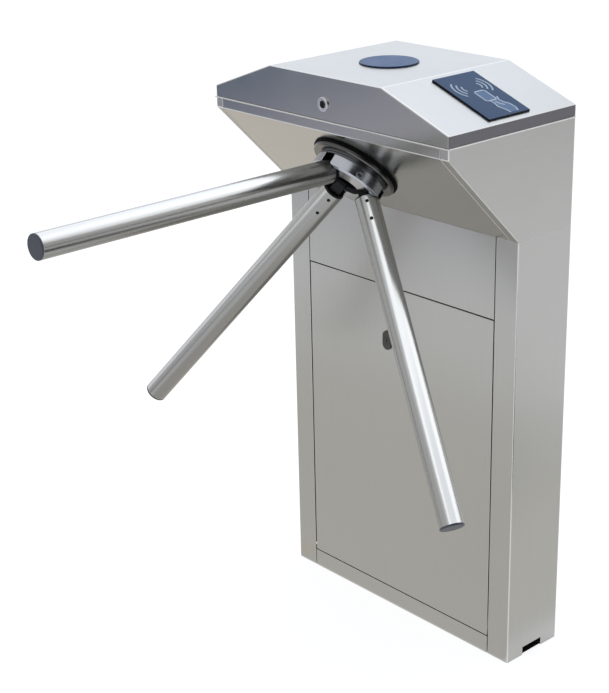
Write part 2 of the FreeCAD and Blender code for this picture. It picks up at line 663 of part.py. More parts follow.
def hub():
    """Black ring, flange and drum in front of the slope, on the hollow main shaft."""
    node(ring("seal_body", "seal_bore", "seal_radius", "0", "seal_height"), "hub_seal", HUB)
    edge = "flange_thickness / 3"
    bore = "shaft_radius + fit"
    points = [(bore, FLANGE_Z), ("flange_radius", FLANGE_Z), ("flange_radius", f"{DRUM_Z} - {edge}"),
              (f"flange_radius - {edge}", DRUM_Z), (bore, DRUM_Z)]
    node(turned("flange_body", points), "hub_flange", HUB)
    owner = drum_blank()
    slot = sketch(owner, "XY_Plane", DRUM_TOP)
    half = "(knuckle_width / 2 + slot_clear)"
    rectangle(slot, f"-{half}", "0", half, "2 * drum_radius")
    way = pocket(owner, slot, f"{DRUM_TOP} - {SLOT_FLOOR}")
    around(owner, way, slot, "3")
    pin_ways = arm_pins("pin_way", "pin_radius + fit", "pin_length / 2 + drum_radius")
    node(cut("drum_cut", owner, pin_ways + arm_mouths()), "hub_drum", HUB)
    shaft = ring("shaft_body", "rod_radius + run_gap", "shaft_radius", f"{BRACKET_Z} + seam", DRUM_Z)
    node(shaft, "main_shaft", HUB)


def drum_blank():
    """The drum before its slots: waisted by the flange, with a flared hollow in the middle of its front."""
    waist = "drum_radius - neck_depth"
    cavity = "(disc_radius + slot_clear)"
    bore = "rod_radius + run_gap"
    points = [(bore, DRUM_Z), (waist, DRUM_Z), (waist, f"{DRUM_Z} + neck_height"),
              ("drum_radius", f"{DRUM_Z} + neck_height + neck_depth / 2"),
              ("drum_radius", f"{DRUM_TOP} - drum_chamfer"), ("drum_radius - drum_chamfer", DRUM_TOP),
              (f"{cavity} + cavity_flare", DRUM_TOP), (cavity, f"{DRUM_TOP} - cavity_flare"),
              (cavity, SLOT_FLOOR), (bore, SLOT_FLOOR)]
    return turned("drum_body", points)


def arm_mouths():
    """Round beds in the rim of the drum, where the roots of the three tubes lie."""
    mouths = []
    for i in range(3):
        bed = bar(f"mouth{i}", "tube_radius + mouth_gap", "2 * drum_radius")
        size(bed, Placement=f"{spot(0, 0, '-apex_inset', (0, 0, 1), 120 * i)} * "
             f"{spot(0, 0, 0, (1, 0, 0), '-cone')} * {spot(0, 0, f'{BUFFER_START} - buffer_gap')}")
        mouths.append(bed)
    return mouths


def arm_pins(name, radius, length):
    """Three cylinders on the arm hinge axes, from the head end of each pin."""
    pins = []
    for i in range(3):
        pin = bar(f"{name}{i}", radius, length)
        size(pin, Placement=f"{spot(0, 0, 0, (0, 0, 1), 120 * i)} * "
             + spot("-pin_length / 2", HINGE_R, HINGE_Z, (0, 1, 0), 90))
        pins.append(pin)
    return pins


def hinge_pins():
    node(group("arm_pins", arm_pins("arm_pin", "pin_radius", "pin_length")), "hinge_pins", HUB)


def arm(number):
    """Knuckle, buffer, tube and end cap of one arm."""
    name = f"arm_{number}"
    place = arm_place(120 * (number - 1), "0" if number == 1 else "arm_sag")
    half = "knuckle_width / 2"
    round_end = bar(name + "_round", "knuckle_radius", "knuckle_width", f"-{half}", 0, "hinge_reach", "x")
    neck = box(name + "_neck", "knuckle_width", "2 * knuckle_radius", "tube_start - hinge_reach", f"-{half}",
               "-knuckle_radius", "hinge_reach")
    heel = box(name + "_heel", "knuckle_width", "heel_length", "heel_thickness", f"-{half}",
               "-sin(cone) * heel_thickness / 2", "hinge_reach + cos(cone) * heel_thickness / 2", (1, 0, 0),
               "180 + cone")
    spigot = bar(name + "_spigot", f"{TUBE_BORE} - push_gap", "spigot_length", 0, 0, "tube_start")
    bore = bar(name + "_bore", "pin_radius + fit", "2 * knuckle_width", "-knuckle_width", 0,
               "hinge_reach", "x")
    solid = join(name + "_solid", [round_end, neck, heel, spigot])
    node(cut(name + "_knuckle_cut", solid, [bore]), name + "_knuckle", place)
    node(buffer(name), name + "_stop", place)
    length = "arm_reach - cap_thickness - tube_start"
    outer = bar(name + "_outer", "tube_radius", length, 0, 0, "tube_start")
    inner = bar(name + "_inner", TUBE_BORE, f"2 * ({length})", 0, 0, f"tube_start - ({length}) / 2")
    node(cut(name + "_tube_cut", outer, [inner]), name + "_tube", place)
    tip = "arm_reach - cap_thickness"
    plug = f"{TUBE_BORE} - push_gap"
    bevel = "cap_thickness / 3"
    points = [("0", f"{tip} - plug_length"), (plug, f"{tip} - plug_length"), (plug, tip),
              ("tube_radius", tip), ("tube_radius", f"arm_reach - {bevel}"),
              (f"tube_radius - {bevel}", "arm_reach"), ("0", "arm_reach")]
    node(turned(name + "_cap_body", points), name + "_cap", place)


def buffer(name):
    """The black stop behind the tube; it meets the mouth of the drum before a lifted arm does."""
    disc = bar(name + "_buffer", "tube_radius - buffer_inset", "buffer_thickness", 0, 0, BUFFER_START)
    way = box(name + "_buffer_way", "knuckle_width + 2 * fit", "2 * (knuckle_radius + fit)", "2 * tube_start",
              "-knuckle_width / 2 - fit", "-knuckle_radius - fit", "0")
    return cut(name + "_buffer_cut", disc, [way])


def chassis():
    """Two plates on pillars behind the slope, with the bearings of the main shaft."""
    for label, z in (("mounting_plate", PLATE_BACK), ("chassis_plate", REAR_BACK)):
        owner = new_body(label + "_body")
        profile = sketch(owner, "XY_Plane", z)
        rectangle(profile, "-plate_width / 2", "-plate_height / 2", "plate_width / 2", "plate_height / 2")
        circle(profile, "0", "0", "bearing_radius + fit")
        pad(owner, profile, "plate_thickness")
        node(owner, label, HUB)
    pillars = []
    across = "(plate_width / 2 - pillar_edge)"
    along = "(plate_height / 2 - pillar_edge)"
    for i, (sx, sy) in enumerate(((-1, -1), (1, -1), (1, 1), (-1, 1))):
        pillars.append(bar(f"pillar{i}", "pillar_radius", "pillar_length", f"{sx} * {across}",
                           f"{sy} * {along}", REAR_FRONT))
    node(group("pillars", pillars), "chassis_pillars", HUB)
    rings = []
    for i, z in enumerate((PLATE_BACK, REAR_BACK)):
        race = bar(f"race{i}", "bearing_radius", "plate_thickness", 0, 0, z)
        hole = bar(f"race_hole{i}", "shaft_radius + fit", "3 * plate_thickness", 0, 0,
                   f"{z} - plate_thickness")
        rings.append(cut(f"bearing{i}", race, [hole]))
    node(group("bearings", rings), "shaft_bearings", HUB)


def notched_wheel(name, radius, z, thickness, points):
    """A wheel on the shaft with one notch shape repeated round its edge."""
    owner = new_body(name)
    profile = sketch(owner, "XY_Plane", z)
    circle(profile, "0", "0", radius)
    circle(profile, "0", "0", "shaft_radius + fit")
    pad(owner, profile, thickness)
    mark = sketch(owner, "XY_Plane", f"{z} + {thickness}")
    outline(mark, points)
    way = pocket(owner, mark, f"2 * {thickness}")
    around(owner, way, mark, "notches")
    return owner


def wheels():
    """Lock wheel with square notches, index wheel with pointed ones, and the detent leaf."""
    half = "lock_notch / 2"
    floor = "lock_radius - notch_depth"
    square = [(f"-{half}", floor), (half, floor), (half, "2 * lock_radius"), (f"-{half}", "2 * lock_radius")]
    wheel = notched_wheel("lock_wheel_body", "lock_radius", LOCK_Z, "lock_thickness", square)
    node(wheel, "lock_wheel", HUB)
    point = "index_radius - index_notch"
    vee = [(point, "0"), ("index_radius + index_notch", "2 * index_notch"),
           ("index_radius + index_notch", "-2 * index_notch")]
    wheel = notched_wheel("index_wheel_body", "index_radius", INDEX_Z, "index_thickness", vee)
    node(wheel, "index_wheel", HUB)
    leaf_x = "(index_radius + index_notch)"
    leaf = box("detent_leaf", "leaf_spring", "leaf_reach + index_notch", "index_thickness", leaf_x,
               "-leaf_reach", INDEX_Z)
    foot = box("detent_foot", "foot_width", "foot_width", f"{PLATE_BACK} - {INDEX_Z}",
               f"{leaf_x} + leaf_spring", "-leaf_reach", INDEX_Z)
    owner = new_body("detent_nose")
    profile = sketch(owner, "XY_Plane", INDEX_Z)
    outline(profile, [(f"{point} + 2 * run_gap", "0"), (leaf_x, "index_notch"), (leaf_x, "-index_notch")])
    pad(owner, profile, "index_thickness")
    node(join("detent_solid", [leaf, foot, owner]), "detent_spring", HUB)


def lock_side(letter, turn):
    """One pawl with its pivot, solenoid and plunger; the other side is the same, half a turn round."""
    place = f"{HUB} * {spot(0, 0, 0, (0, 0, 1), turn)}"
    low = "(lock_radius + pawl_gap)"
    lever = box(f"pawl_bar_{letter}", "pawl_x + pawl_tail + pawl_nose", "pawl_height", "lock_thickness",
                "-pawl_nose", low, LOCK_Z)
    tooth = box(f"pawl_tooth_{letter}", "tooth_width", "pawl_gap - tooth_gap", "lock_thickness",
                "-tooth_width / 2 - tooth_shift", "lock_radius + tooth_gap", LOCK_Z)
    bore = bar(f"pawl_bore_{letter}", "pivot_radius + fit", "3 * lock_thickness", "pawl_x", PAWL_Y,
               f"{LOCK_Z} - lock_thickness")
    solid = join(f"pawl_solid_{letter}", [lever, tooth])
    node(cut(f"pawl_cut_{letter}", solid, [bore]), f"lock_pawl_{letter}", place)
    pivot = bar(f"pivot_{letter}", "pivot_radius", "pivot_length")
    size(pivot, Placement=f"{spot(0, 0, 0, (0, 0, 1), turn)} * {spot('pawl_x', PAWL_Y, REAR_FRONT)}")
    axis_x = "(pawl_x + coil_offset)"
    axis_z = f"({LOCK_Z} + lock_thickness / 2)"
    top = f"({low} - coil_gap)"
    case = box(f"coil_case_{letter}", "coil_width", "coil_length", "coil_depth", f"{axis_x} - coil_width / 2",
               f"{top} - coil_length", REAR_FRONT)
    hollow = bar(f"coil_bore_{letter}", "plunger_radius + run_gap", "plunger_length + coil_gap", axis_x,
                 f"{top} - plunger_length", axis_z, "y")
    coil = cut(f"coil_{letter}", case, [hollow])
    size(coil, Placement=spot(0, 0, 0, (0, 0, 1), turn))
    stem = bar(f"plunger_stem_{letter}", "plunger_radius", "plunger_length", axis_x,
               f"{low} - lid_gap - nose_radius - plunger_length", axis_z, "y")
    nose = bar(f"plunger_nose_{letter}", "nose_radius", "nose_radius", axis_x,
               f"{low} - lid_gap - nose_radius", axis_z, "y")
    node(join(f"plunger_solid_{letter}", [stem, nose]), f"lock_plunger_{letter}", place)
    return pivot, coil


def locking():
    sides = [lock_side("a", 0), lock_side("b", 180)]
    node(group("pivots", [pivot for pivot, _ in sides]), "pawl_pivots", HUB)
    node(group("coils", [coil for _, coil in sides]), "lock_solenoids", HUB)


def drop_release():
    """Rear bracket with the rotary damper round the shaft, the drop solenoid and its rod."""
    sides = ("-bracket_width / 2", "bracket_width / 2 - bracket_plate")
    legs = [box(f"bracket_leg{i}", "bracket_plate", "bracket_height", "bracket_depth", x,
                "-bracket_height / 2", BRACKET_Z) for i, x in enumerate(sides)]
    web = box("bracket_web", "bracket_width", "bracket_height", "bracket_plate", "-bracket_width / 2",
              "-bracket_height / 2", f"{BRACKET_Z} - bracket_plate")
    hole = bar("bracket_hole", "rod_radius + run_gap", "4 * bracket_plate", 0, 0,
               f"{BRACKET_Z} - 2 * bracket_plate")
    node(cut("bracket_cut", join("bracket_solid", legs + [web]), [hole]), "rear_bracket", HUB)
    damper_front = f"{BRACKET_Z} + damper_length"
    damper = ring("damper_body", "shaft_radius + run_gap", "damper_radius", BRACKET_Z, damper_front)
    node(damper, "rotary_damper", HUB)
    rear = f"({BRACKET_Z} - bracket_plate - drop_coil_length)"
    front = f"({BRACKET_Z} - bracket_plate)"
    bore = "rod_radius + run_gap"
    floor = f"{rear} + bracket_plate"
    points = [("0", rear), ("drop_coil_radius", rear), ("drop_coil_radius", front), (bore, front),
              (bore, floor), ("0", floor)]
    node(turned("drop_coil_body", points), "drop_solenoid", HUB)
    tail = f"({REAR_BACK} - rod_tail)"
    neck = f"({DISC_FRONT} - disc_thickness)"
    points = [("0", tail), ("rod_radius", tail), ("rod_radius", neck), ("disc_radius", neck),
              ("disc_radius", DISC_FRONT), ("0", DISC_FRONT)]
    node(turned("drop_rod_body", points), "drop_rod", HUB)


def electrics():
    """Power supply on the base plate and the control box on the back sheet."""
    inside = f"({BACK} - wall)"
    node(box("supply_case", "supply_width", "supply_depth", "supply_height",
             f"supply_inset - {END}", f"{inside} - seam - supply_depth", "base_thickness"), "power_supply")
    node(slab("control_case", "control_width", f"{inside} - control_depth", inside, "control_z",
              "control_z + control_height"), "control_box")


base_plate()
cable_gland()
post("left_post", -1)
post("right_post", 1)
pedestal_panels()
cheek("left_cheek", -1)
cheek("right_cheek", 1)
head_sheets()
lid_hinges()
lid_shell()
lid_fittings()
lid_lock()
door()
hub()
hinge_pins()
for number in (1, 2, 3):
    arm(number)
chassis()
wheels()
locking()
drop_release()
electrics()

doc.recompute()
broken = [item.Label for item in doc.Objects if "Invalid" in item.State or "Error" in item.State]
if broken:
    raise ValueError(f"failed objects: {broken}")
for item in parts:
    if item.Shape.isNull() or not item.Shape.isValid():
        raise ValueError(f"bad shape: {item.Label}")

os.makedirs("parts", exist_ok=True)
for item in parts:
    item.Shape.exportStep(f"parts/{item.Label}.step")
    print(item.Label, len(item.Shape.Solids), round(item.Shape.Volume))
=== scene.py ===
# %% [markdown]
# # Drop arm tripod turnstile
# A folded stainless cabinet carries a tripod of three tubes on a sloping hub.  The solids come from the CAD
# frame, in metres and in their final place.  This lesson dresses them: it lights a small studio, makes one
# finish for each real material and a few that are painted shade or painted highlight, rounds the folds of
# the sheets, drills the tubes and adds the small fittings that the solids leave out.

# %% Load the frame
import json
import math
import bmesh
import bpy
from mathutils import Matrix, Vector

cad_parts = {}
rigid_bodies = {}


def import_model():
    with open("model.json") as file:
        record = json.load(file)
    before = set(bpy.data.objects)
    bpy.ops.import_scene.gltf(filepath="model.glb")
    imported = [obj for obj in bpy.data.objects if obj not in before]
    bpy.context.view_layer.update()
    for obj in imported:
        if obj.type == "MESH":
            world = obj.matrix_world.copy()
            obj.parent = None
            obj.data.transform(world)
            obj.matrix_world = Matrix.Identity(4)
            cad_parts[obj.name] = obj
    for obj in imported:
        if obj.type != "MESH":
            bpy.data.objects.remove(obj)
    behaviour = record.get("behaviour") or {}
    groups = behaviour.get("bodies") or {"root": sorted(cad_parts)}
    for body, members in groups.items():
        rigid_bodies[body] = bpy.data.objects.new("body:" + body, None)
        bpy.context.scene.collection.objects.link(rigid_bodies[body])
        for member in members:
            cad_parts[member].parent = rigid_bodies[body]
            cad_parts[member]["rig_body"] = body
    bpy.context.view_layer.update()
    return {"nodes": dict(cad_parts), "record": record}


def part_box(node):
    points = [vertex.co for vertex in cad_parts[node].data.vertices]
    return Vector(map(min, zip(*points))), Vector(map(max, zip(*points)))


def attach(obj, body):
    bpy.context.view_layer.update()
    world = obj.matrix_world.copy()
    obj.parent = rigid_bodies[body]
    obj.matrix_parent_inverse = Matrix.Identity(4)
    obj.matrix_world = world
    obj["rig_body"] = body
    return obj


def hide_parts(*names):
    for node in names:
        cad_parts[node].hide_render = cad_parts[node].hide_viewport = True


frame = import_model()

MM = 0.001
print("CAD nodes:", len(frame["nodes"]))

# %% [markdown]
# ## Camera
# The photograph looks down on the right front corner with a long lens.  A camera could be aimed
# with a Track To constraint, but the fitted view has a slight roll, so its three axes are written
# straight into the matrix instead.

# %% Camera
EYE = Vector((1.7545, -1.8133, 1.4679))
FORWARD = Vector((-0.69926, 0.61573, -0.36321)).normalized()
RIGHT = Vector((0.66733, 0.74441, -0.02280)).normalized()


def new_piece(name, data):
    """An object in the scene with this mesh, lamp or camera."""
    made = bpy.data.objects.new(name, data)
    bpy.context.scene.collection.objects.link(made)
    return made


lens = bpy.data.cameras.new("photo_view")
lens.sensor_width = 36
lens.lens = 82.28
camera = new_piece("photo_view", lens)
aim = Matrix((RIGHT, RIGHT.cross(FORWARD), -FORWARD)).transposed().to_4x4()
camera.matrix_world = Matrix.Translation(EYE) @ aim
bpy.context.scene.camera = camera
print("camera", tuple(round(v, 3) for v in camera.location), "lens", lens.lens)

# %% [markdown]
# ## Two helpers for every finish
# Colours are picked as sRGB hex values, as a paint chart gives them, but shaders work in linear
# light, so one function converts.  A second one adds a node, sets its properties and either links
# or fills its inputs; with it a whole finish reads as a short list.

# %% Colour and node helpers
def colour(code, alpha=1.0):
    """Linear RGBA from an sRGB hex code."""
    parts = [int(code[i:i + 2], 16) / 255 for i in (1, 3, 5)]
    return [c / 12.92 if c <= 0.04045 else ((c + 0.055) / 1.055) ** 2.4 for c in parts] + [alpha]


def put(tree, kind, inputs=None, **settings):
    """Add a node: settings are its properties, inputs are sockets to link or values to fill in."""
    made = tree.nodes.new(kind)
    for key, value in settings.items():
        setattr(made, key, value)
    for key, value in (inputs or {}).items():
        if isinstance(value, bpy.types.NodeSocket):
            tree.links.new(value, made.inputs[key])
        else:
            made.inputs[key].default_value = value
    return made


def blank_finish(name):
    """An empty material and its node tree."""
    made = bpy.data.materials.new(name)
    made.use_nodes = True
    made.node_tree.nodes.clear()
    return made, made.node_tree


def surface(tree, shader):
    put(tree, "ShaderNodeOutputMaterial", {"Surface": shader.outputs[0]})


print("white is", colour("#FFFFFF"))

# %% [markdown]
# ## Surround and floor
# Metal shows what stands round it.  A pale floor and a white surround give the clean cut-out
# background; both are white to the camera and to reflections, and weaker as light.  A studio would
# curve its paper up behind the object; a flat floor under a white sky has no edge to hide, so it
# needs no curve.

# %% White surround
def seen_ray(tree):
    """1 for rays that look at things: camera, reflections and glass."""
    path = put(tree, "ShaderNodeLightPath")
    pair = put(tree, "ShaderNodeMath", {0: path.outputs["Is Camera Ray"], 1: path.outputs["Is Glossy Ray"]},
               operation="MAXIMUM")
    return put(tree, "ShaderNodeMath", {0: pair.outputs[0], 1: path.outputs["Is Transmission Ray"]},
               operation="MAXIMUM").outputs[0]


world = bpy.data.worlds.new("white_surround")
world.use_nodes = True
world.node_tree.nodes.clear()
bpy.context.scene.world = world
bpy.context.scene.view_settings.view_transform = "Standard"
sky = world.node_tree
fill = put(sky, "ShaderNodeBackground", {"Color": colour("#EAF0FA"), "Strength": 0.55})
white = put(sky, "ShaderNodeBackground", {"Color": colour("#FFFFFF"), "Strength": 1.0})
either = put(sky, "ShaderNodeMixShader", {0: seen_ray(sky), 1: fill.outputs[0], 2: white.outputs[0]})
put(sky, "ShaderNodeOutputWorld", {"Surface": either.outputs[0]})
print(world.name, "has", len(sky.nodes), "nodes")

# %% Floor
def shell(name, corners, faces):
    """A mesh from its corners and faces."""
    mesh = bpy.data.meshes.new(name)
    mesh.from_pydata(corners, [], faces)
    return mesh


def card(name, centre, facing, width, height, finish):
    """A stage card: a flat sheet of the studio that faces a point."""
    w, h = width / 2, height / 2
    mesh = shell(name, [(-w, -h, 0), (w, -h, 0), (w, h, 0), (-w, h, 0)], [(0, 1, 2, 3)])
    turn = (Vector(facing) - Vector(centre)).to_track_quat("Z", "Y").to_matrix().to_4x4()
    mesh.transform(Matrix.Translation(centre) @ turn)
    mesh.materials.append(finish)
    made = new_piece(name, mesh)
    return made


# Pale paper: it throws light up like paper, but is lifted to white where it is looked at.
OVERHEAD = (0, 0, 5)
paper, tree = blank_finish("pale_studio_paper")
dull = put(tree, "ShaderNodeBsdfDiffuse", {"Color": colour("#DCDCDA")})
soft = put(tree, "ShaderNodeBsdfDiffuse", {"Color": colour("#A8A8A8")})
lift = put(tree, "ShaderNodeEmission", {"Color": colour("#FFFFFF"), "Strength": 0.84})
both = put(tree, "ShaderNodeAddShader", {0: soft.outputs[0], 1: lift.outputs[0]})
surface(tree, put(tree, "ShaderNodeMixShader",
                  {0: seen_ray(tree), 1: dull.outputs[0], 2: both.outputs[0]}))
ground = card("studio_floor", (0, 0, -1 * MM), OVERHEAD, 30, 30, paper)

# A dark card inside the pedestal, painted shade where no light comes: it darkens the cable notches.
shade, tree = blank_finish("painted_shade_paper")
surface(tree, put(tree, "ShaderNodeBsdfDiffuse", {"Color": colour("#2B2A28")}))
inside = card("painted_shade_in_pedestal", (0, 0, -0.5 * MM), OVERHEAD, 512 * MM, 116 * MM, shade)
print("floor cards:", ground.name, inside.name)

# %% [markdown]
# ## Flags and floor cards
# Product photographers hang dark flags out of view and lay cards on the floor to put shade into
# bright metal.  A painted shade would stay put when the part moves; a thin card that only
# reflections can see shades what really faces it.  The one that the lid front mirrors is graded,
# dark at its left.

# %% Flags and cards
# name: centre, point that it faces, width, height, colour at its left and at its right
FLAGS = {
    "shade_floor_front": ((-3.2, -3.2, 0.004), (-3.2, -3.2, 1), 4.6, 3.1, "#4C6488", "#C8C7D4"),
    "flag_back_right": ((3.2, 2.9, 0.55), (0, -0.2, 0.55), 5.0, 0.50, "#34373D", "#34373D"),
    "flag_front_right": ((1.85, -0.665, 1.87), (0, -0.15, 0.83), 2.5, 1.5, "#20242B", "#20242B"),
    "flag_right": ((2.2, -1.15, 0.93), (0, -0.15, 0.83), 1.6, 0.86, "#3A3832", "#3A3832"),
    "shade_floor_right": ((1.6, -0.1, 0.004), (1.6, -0.1, 1), 1.5, 1.1, "#2E2D2A", "#2E2D2A"),
    "bounce_floor": ((-1.2, 0.675, 0.004), (-1.2, 0.675, 1), 1.9, 1.55, "#E8E2D9", "#E8E2D9"),
    "grey_floor_front": ((-0.525, -0.53, 0.003), (-0.525, -0.53, 1), 1.55, 0.94, "#E6E4E0", "#E6E4E0"),
    "grey_floor_right": ((0.75, 0.35, 0.003), (0.75, 0.35, 1), 0.9, 0.9, "#F1F0ED", "#F1F0ED"),
}
GRADE = 0.9
for name, (centre, facing, width, height, left, right) in FLAGS.items():
    cloth, tree = blank_finish(name + "_cloth")
    place = put(tree, "ShaderNodeTexCoord")
    across = put(tree, "ShaderNodeSeparateXYZ", {0: place.outputs["Object"]})
    step = put(tree, "ShaderNodeMapRange", {"Value": across.outputs[0], 1: centre[0] - GRADE / 2,
                                            2: centre[0] + GRADE / 2})
    tint = put(tree, "ShaderNodeMix", {0: step.outputs[0], 6: colour(left), 7: colour(right)},
               data_type="RGBA")
    surface(tree, put(tree, "ShaderNodeEmission", {"Color": tint.outputs[2], "Strength": 1.0}))
    flag = card(name, centre, facing, width, height, cloth)
    for sense in ("camera", "diffuse", "transmission", "shadow"):
        setattr(flag, "visible_" + sense, False)
print(len(FLAGS), "flags and cards, graded over", GRADE, "m")

# %% [markdown]
# ## Softboxes and strips
# Two softboxes stand behind and above, so the lid shines.  A tube is a curved mirror, and each one
# needs a bright strip beside it for its long highlight.  Such strips could spoil the flat sheets
# with hot spots, so light linking gives every strip the tubes that it may light and nothing else.

# %% Softboxes and strips
# name: centre, point that it faces, width, height, radiance, colour, arms that it lights
EVERYTHING = ()
SOFTBOXES = {
    "softbox_back_left": ((-1.65, 1.75, 2.2), (0, -0.1, 0.9), 3.0, 2.6, 1.55, "#CFE2FF", EVERYTHING),
    "softbox_above": ((0.1, 0.9, 3.1), (0, -0.2, 0.8), 2.6, 2.4, 2.2, "#E4EEFF", EVERYTHING),
    "strip_crown": ((-0.3, 0.05, 1.55), (0, -0.2, 0.83), 1.4, 0.8, 5.0, "#F4F8FF", (1, 2, 3)),
    "strip_right": ((0.65, -0.30, 1.10), (0.27, -0.40, 0.58), 2.0, 1.3, 7.5, "#F4F8FF", (3,)),
    "strip_back_right": ((1.36, 0.55, 2.95), (0.12, -0.3, 0.7), 2.7, 2.7, 5.6, "#F4F8FF", (1, 2)),
    "strip_front": ((-0.5, -2.3, 1.5), (0.2, -0.27, 0.6), 2.2, 1.7, 3.4, "#E4EAFA", (1, 2)),
    "strip_front_high": ((0.25, -2.0, 2.1), (0.24, -0.37, 0.6), 1.4, 1.0, 1.4, "#E4EAFA", (3,)),
    "strip_left": ((-2.7, -0.9, 0.8), (-0.25, -0.27, 0.6), 1.4, 0.8, 3.2, "#E4EAFA", (1, 2)),
}
lit_arms = {}
for name, (centre, facing, width, height, radiance, tint, arms) in SOFTBOXES.items():
    lamp = bpy.data.lights.new(name, "AREA")
    lamp.shape = "RECTANGLE"
    lamp.size, lamp.size_y = width, height
    lamp.energy = radiance * width * height
    lamp.color = colour(tint)[:3]
    holder = new_piece(name, lamp)
    away = (Vector(centre) - Vector(facing)).to_track_quat("Z", "Y").to_matrix().to_4x4()
    holder.matrix_world = Matrix.Translation(centre) @ away
    holder.visible_camera = False
    if arms:
        only = bpy.data.collections.new(name + "_lights")
        holder.light_linking.receiver_collection = only
        lit_arms[only] = arms
print(len(SOFTBOXES), "lamps,", len(lit_arms), "of them for tubes alone")

# %% [markdown]
# ## Brushed stainless steel
# The cabinet is 1.5 mm stainless sheet, brushed with a belt: fine parallel scratches spread every
# reflection across the grain.  Real scratches are about 0.05 mm wide, too fine for this picture, so
# they are drawn about 1 mm wide.  The pattern could sit in Object coordinates, but the sheets turn
# in all directions, so every sheet gets its own UV map named grain, with U along the brushing.

# %% Brushed sheet
CLOUD_MM = 160
RELIEF = 0.2 * MM
QUARTER_TURN = 0.25


def brushed(name, dark, pale, rough_low, rough_high, scratch_mm, length_mm, bump, spread):
    """Metal with straight scratches along U of the grain map, and faint clouds from cleaning."""
    made, tree = blank_finish(name)
    grain = put(tree, "ShaderNodeUVMap", uv_map="grain")
    stretch = put(tree, "ShaderNodeMapping",
                  {"Vector": grain.outputs[0], "Scale": (1000 / length_mm, 1000 / scratch_mm, 1)})
    scratch = put(tree, "ShaderNodeTexNoise", {"Vector": stretch.outputs[0], "Scale": 1.0, "Detail": 4.0,
                                               "Roughness": 0.6})
    place = put(tree, "ShaderNodeTexCoord")
    cloud = put(tree, "ShaderNodeTexNoise", {"Vector": place.outputs["Object"], "Scale": 1000 / CLOUD_MM,
                                             "Detail": 3.0, "Roughness": 0.55})
    base = put(tree, "ShaderNodeMix", {0: scratch.outputs["Fac"], 6: colour(dark), 7: colour(pale)},
               data_type="RGBA")
    rough = put(tree, "ShaderNodeMapRange", {"Value": cloud.outputs["Fac"], 1: 0.2, 2: 0.8, 3: rough_low,
                                             4: rough_high})
    relief = put(tree, "ShaderNodeBump", {"Strength": bump, "Distance": RELIEF,
                                          "Height": scratch.outputs["Fac"]})
    # The tangent runs along the scratches, and they spread light across: a quarter turn from it.
    along = put(tree, "ShaderNodeTangent", direction_type="UV_MAP", uv_map="grain")
    surface(tree, put(tree, "ShaderNodeBsdfPrincipled", {
        "Base Color": base.outputs[2], "Metallic": 1.0, "Roughness": rough.outputs[0], "Anisotropic": spread,
        "Anisotropic Rotation": QUARTER_TURN, "Tangent": along.outputs[0], "Normal": relief.outputs[0]}))
    return made


# Belt-brushed sheet: broad, soft reflections with a streak across the grain.
sheet_steel = brushed("stainless_sheet_brushed", "#ADADAA", "#B7B7B4", 0.27, 0.33, 1.0, 140, 0.02, 0.45)
# A finer belt, for slope and lid front: the ring and the floor show in them, softly.
slope_steel = brushed("stainless_slope_fine_brushed", "#ADADAA", "#B7B7B4", 0.16, 0.20, 1.0, 140, 0.02, 0.3)
# Folds, burnished by the press tool and given a lighter tone, partly a painted highlight: they catch a thin
# bright line.
burnished_fold_and_highlight = brushed("stainless_fold_with_painted_highlight", "#CACAC8", "#D8D8D6", 0.16, 0.22, 1.5, 60, 0.02, 0.3)
# End lips: a darker copy of the brushed sheet, painted shade that makes a dark band under the bright slope;
# their grain runs across the sheet's.
lip_painted_shade = brushed("stainless_lip_painted_shade", "#6A696E", "#727176", 0.27, 0.33, 1.0, 60, 0.02, 0.45)
# Satin tube: long highlights with soft borders.
tube_steel = brushed("stainless_tube_satin", "#949492", "#9A9A98", 0.21, 0.27, 1.4, 200, 0.003, 0.3)
for made in (sheet_steel, slope_steel, burnished_fold_and_highlight, lip_painted_shade, tube_steel):
    print(made.name, len(made.node_tree.nodes), "nodes")

# %% [markdown]
# ## Cast, moulded and turned finishes
# The other pieces have no grain of their own, so their patterns read Object coordinates.  Each one
# starts from what the part is: chromed zinc, moulded rubber and nylon, milled aluminium, ground
# steel, galvanised plate, cast acrylic.  One function gives them all a fine relief and a slow
# change of tone, at sizes that fit the process.

# %% Plain-bodied finishes
def bodied(name, dark, pale, metallic, rough_low, rough_high, patch_mm, relief_mm, bump, shine=0.5):
    """A finish with slow patches of tone and gloss and a fine relief."""
    made, tree = blank_finish(name)
    place = put(tree, "ShaderNodeTexCoord")
    patch = put(tree, "ShaderNodeTexNoise", {"Vector": place.outputs["Object"], "Scale": 1000 / patch_mm,
                                             "Detail": 4.0, "Roughness": 0.6})
    grit = put(tree, "ShaderNodeTexNoise", {"Vector": place.outputs["Object"], "Scale": 1000 / relief_mm,
                                            "Detail": 2.0})
    base = put(tree, "ShaderNodeMix", {0: patch.outputs["Fac"], 6: colour(dark), 7: colour(pale)},
               data_type="RGBA")
    rough = put(tree, "ShaderNodeMapRange", {"Value": patch.outputs["Fac"], 1: 0.3, 2: 0.7, 3: rough_low,
                                             4: rough_high})
    relief = put(tree, "ShaderNodeBump", {"Strength": bump, "Distance": RELIEF,
                                          "Height": grit.outputs["Fac"]})
    surface(tree, put(tree, "ShaderNodeBsdfPrincipled", {
        "Base Color": base.outputs[2], "Metallic": metallic, "Roughness": rough.outputs[0],
        "Normal": relief.outputs[0], "Specular IOR Level": shine}))
    return made


# Chrome on cast zinc: a soft mirror, a little blue.
hub_chrome = bodied("zinc_casting_chromed", "#A4A7AE", "#B0B3BA", 1.0, 0.16, 0.22, 30, 2, 0.02)
# Chrome on brass: the sharpest mirror here.
lock_chrome = bodied("brass_lock_chromed", "#D2D3D5", "#E2E3E4", 1.0, 0.05, 0.10, 12, 1.5, 0.01)
# Satin metal painted dark, a painted shade, so the bright drum stands out.
flange_painted_shade = bodied("satin_flange_painted_shade", "#525250", "#5E5E5C", 1.0, 0.20, 0.28, 30, 2, 0.02)
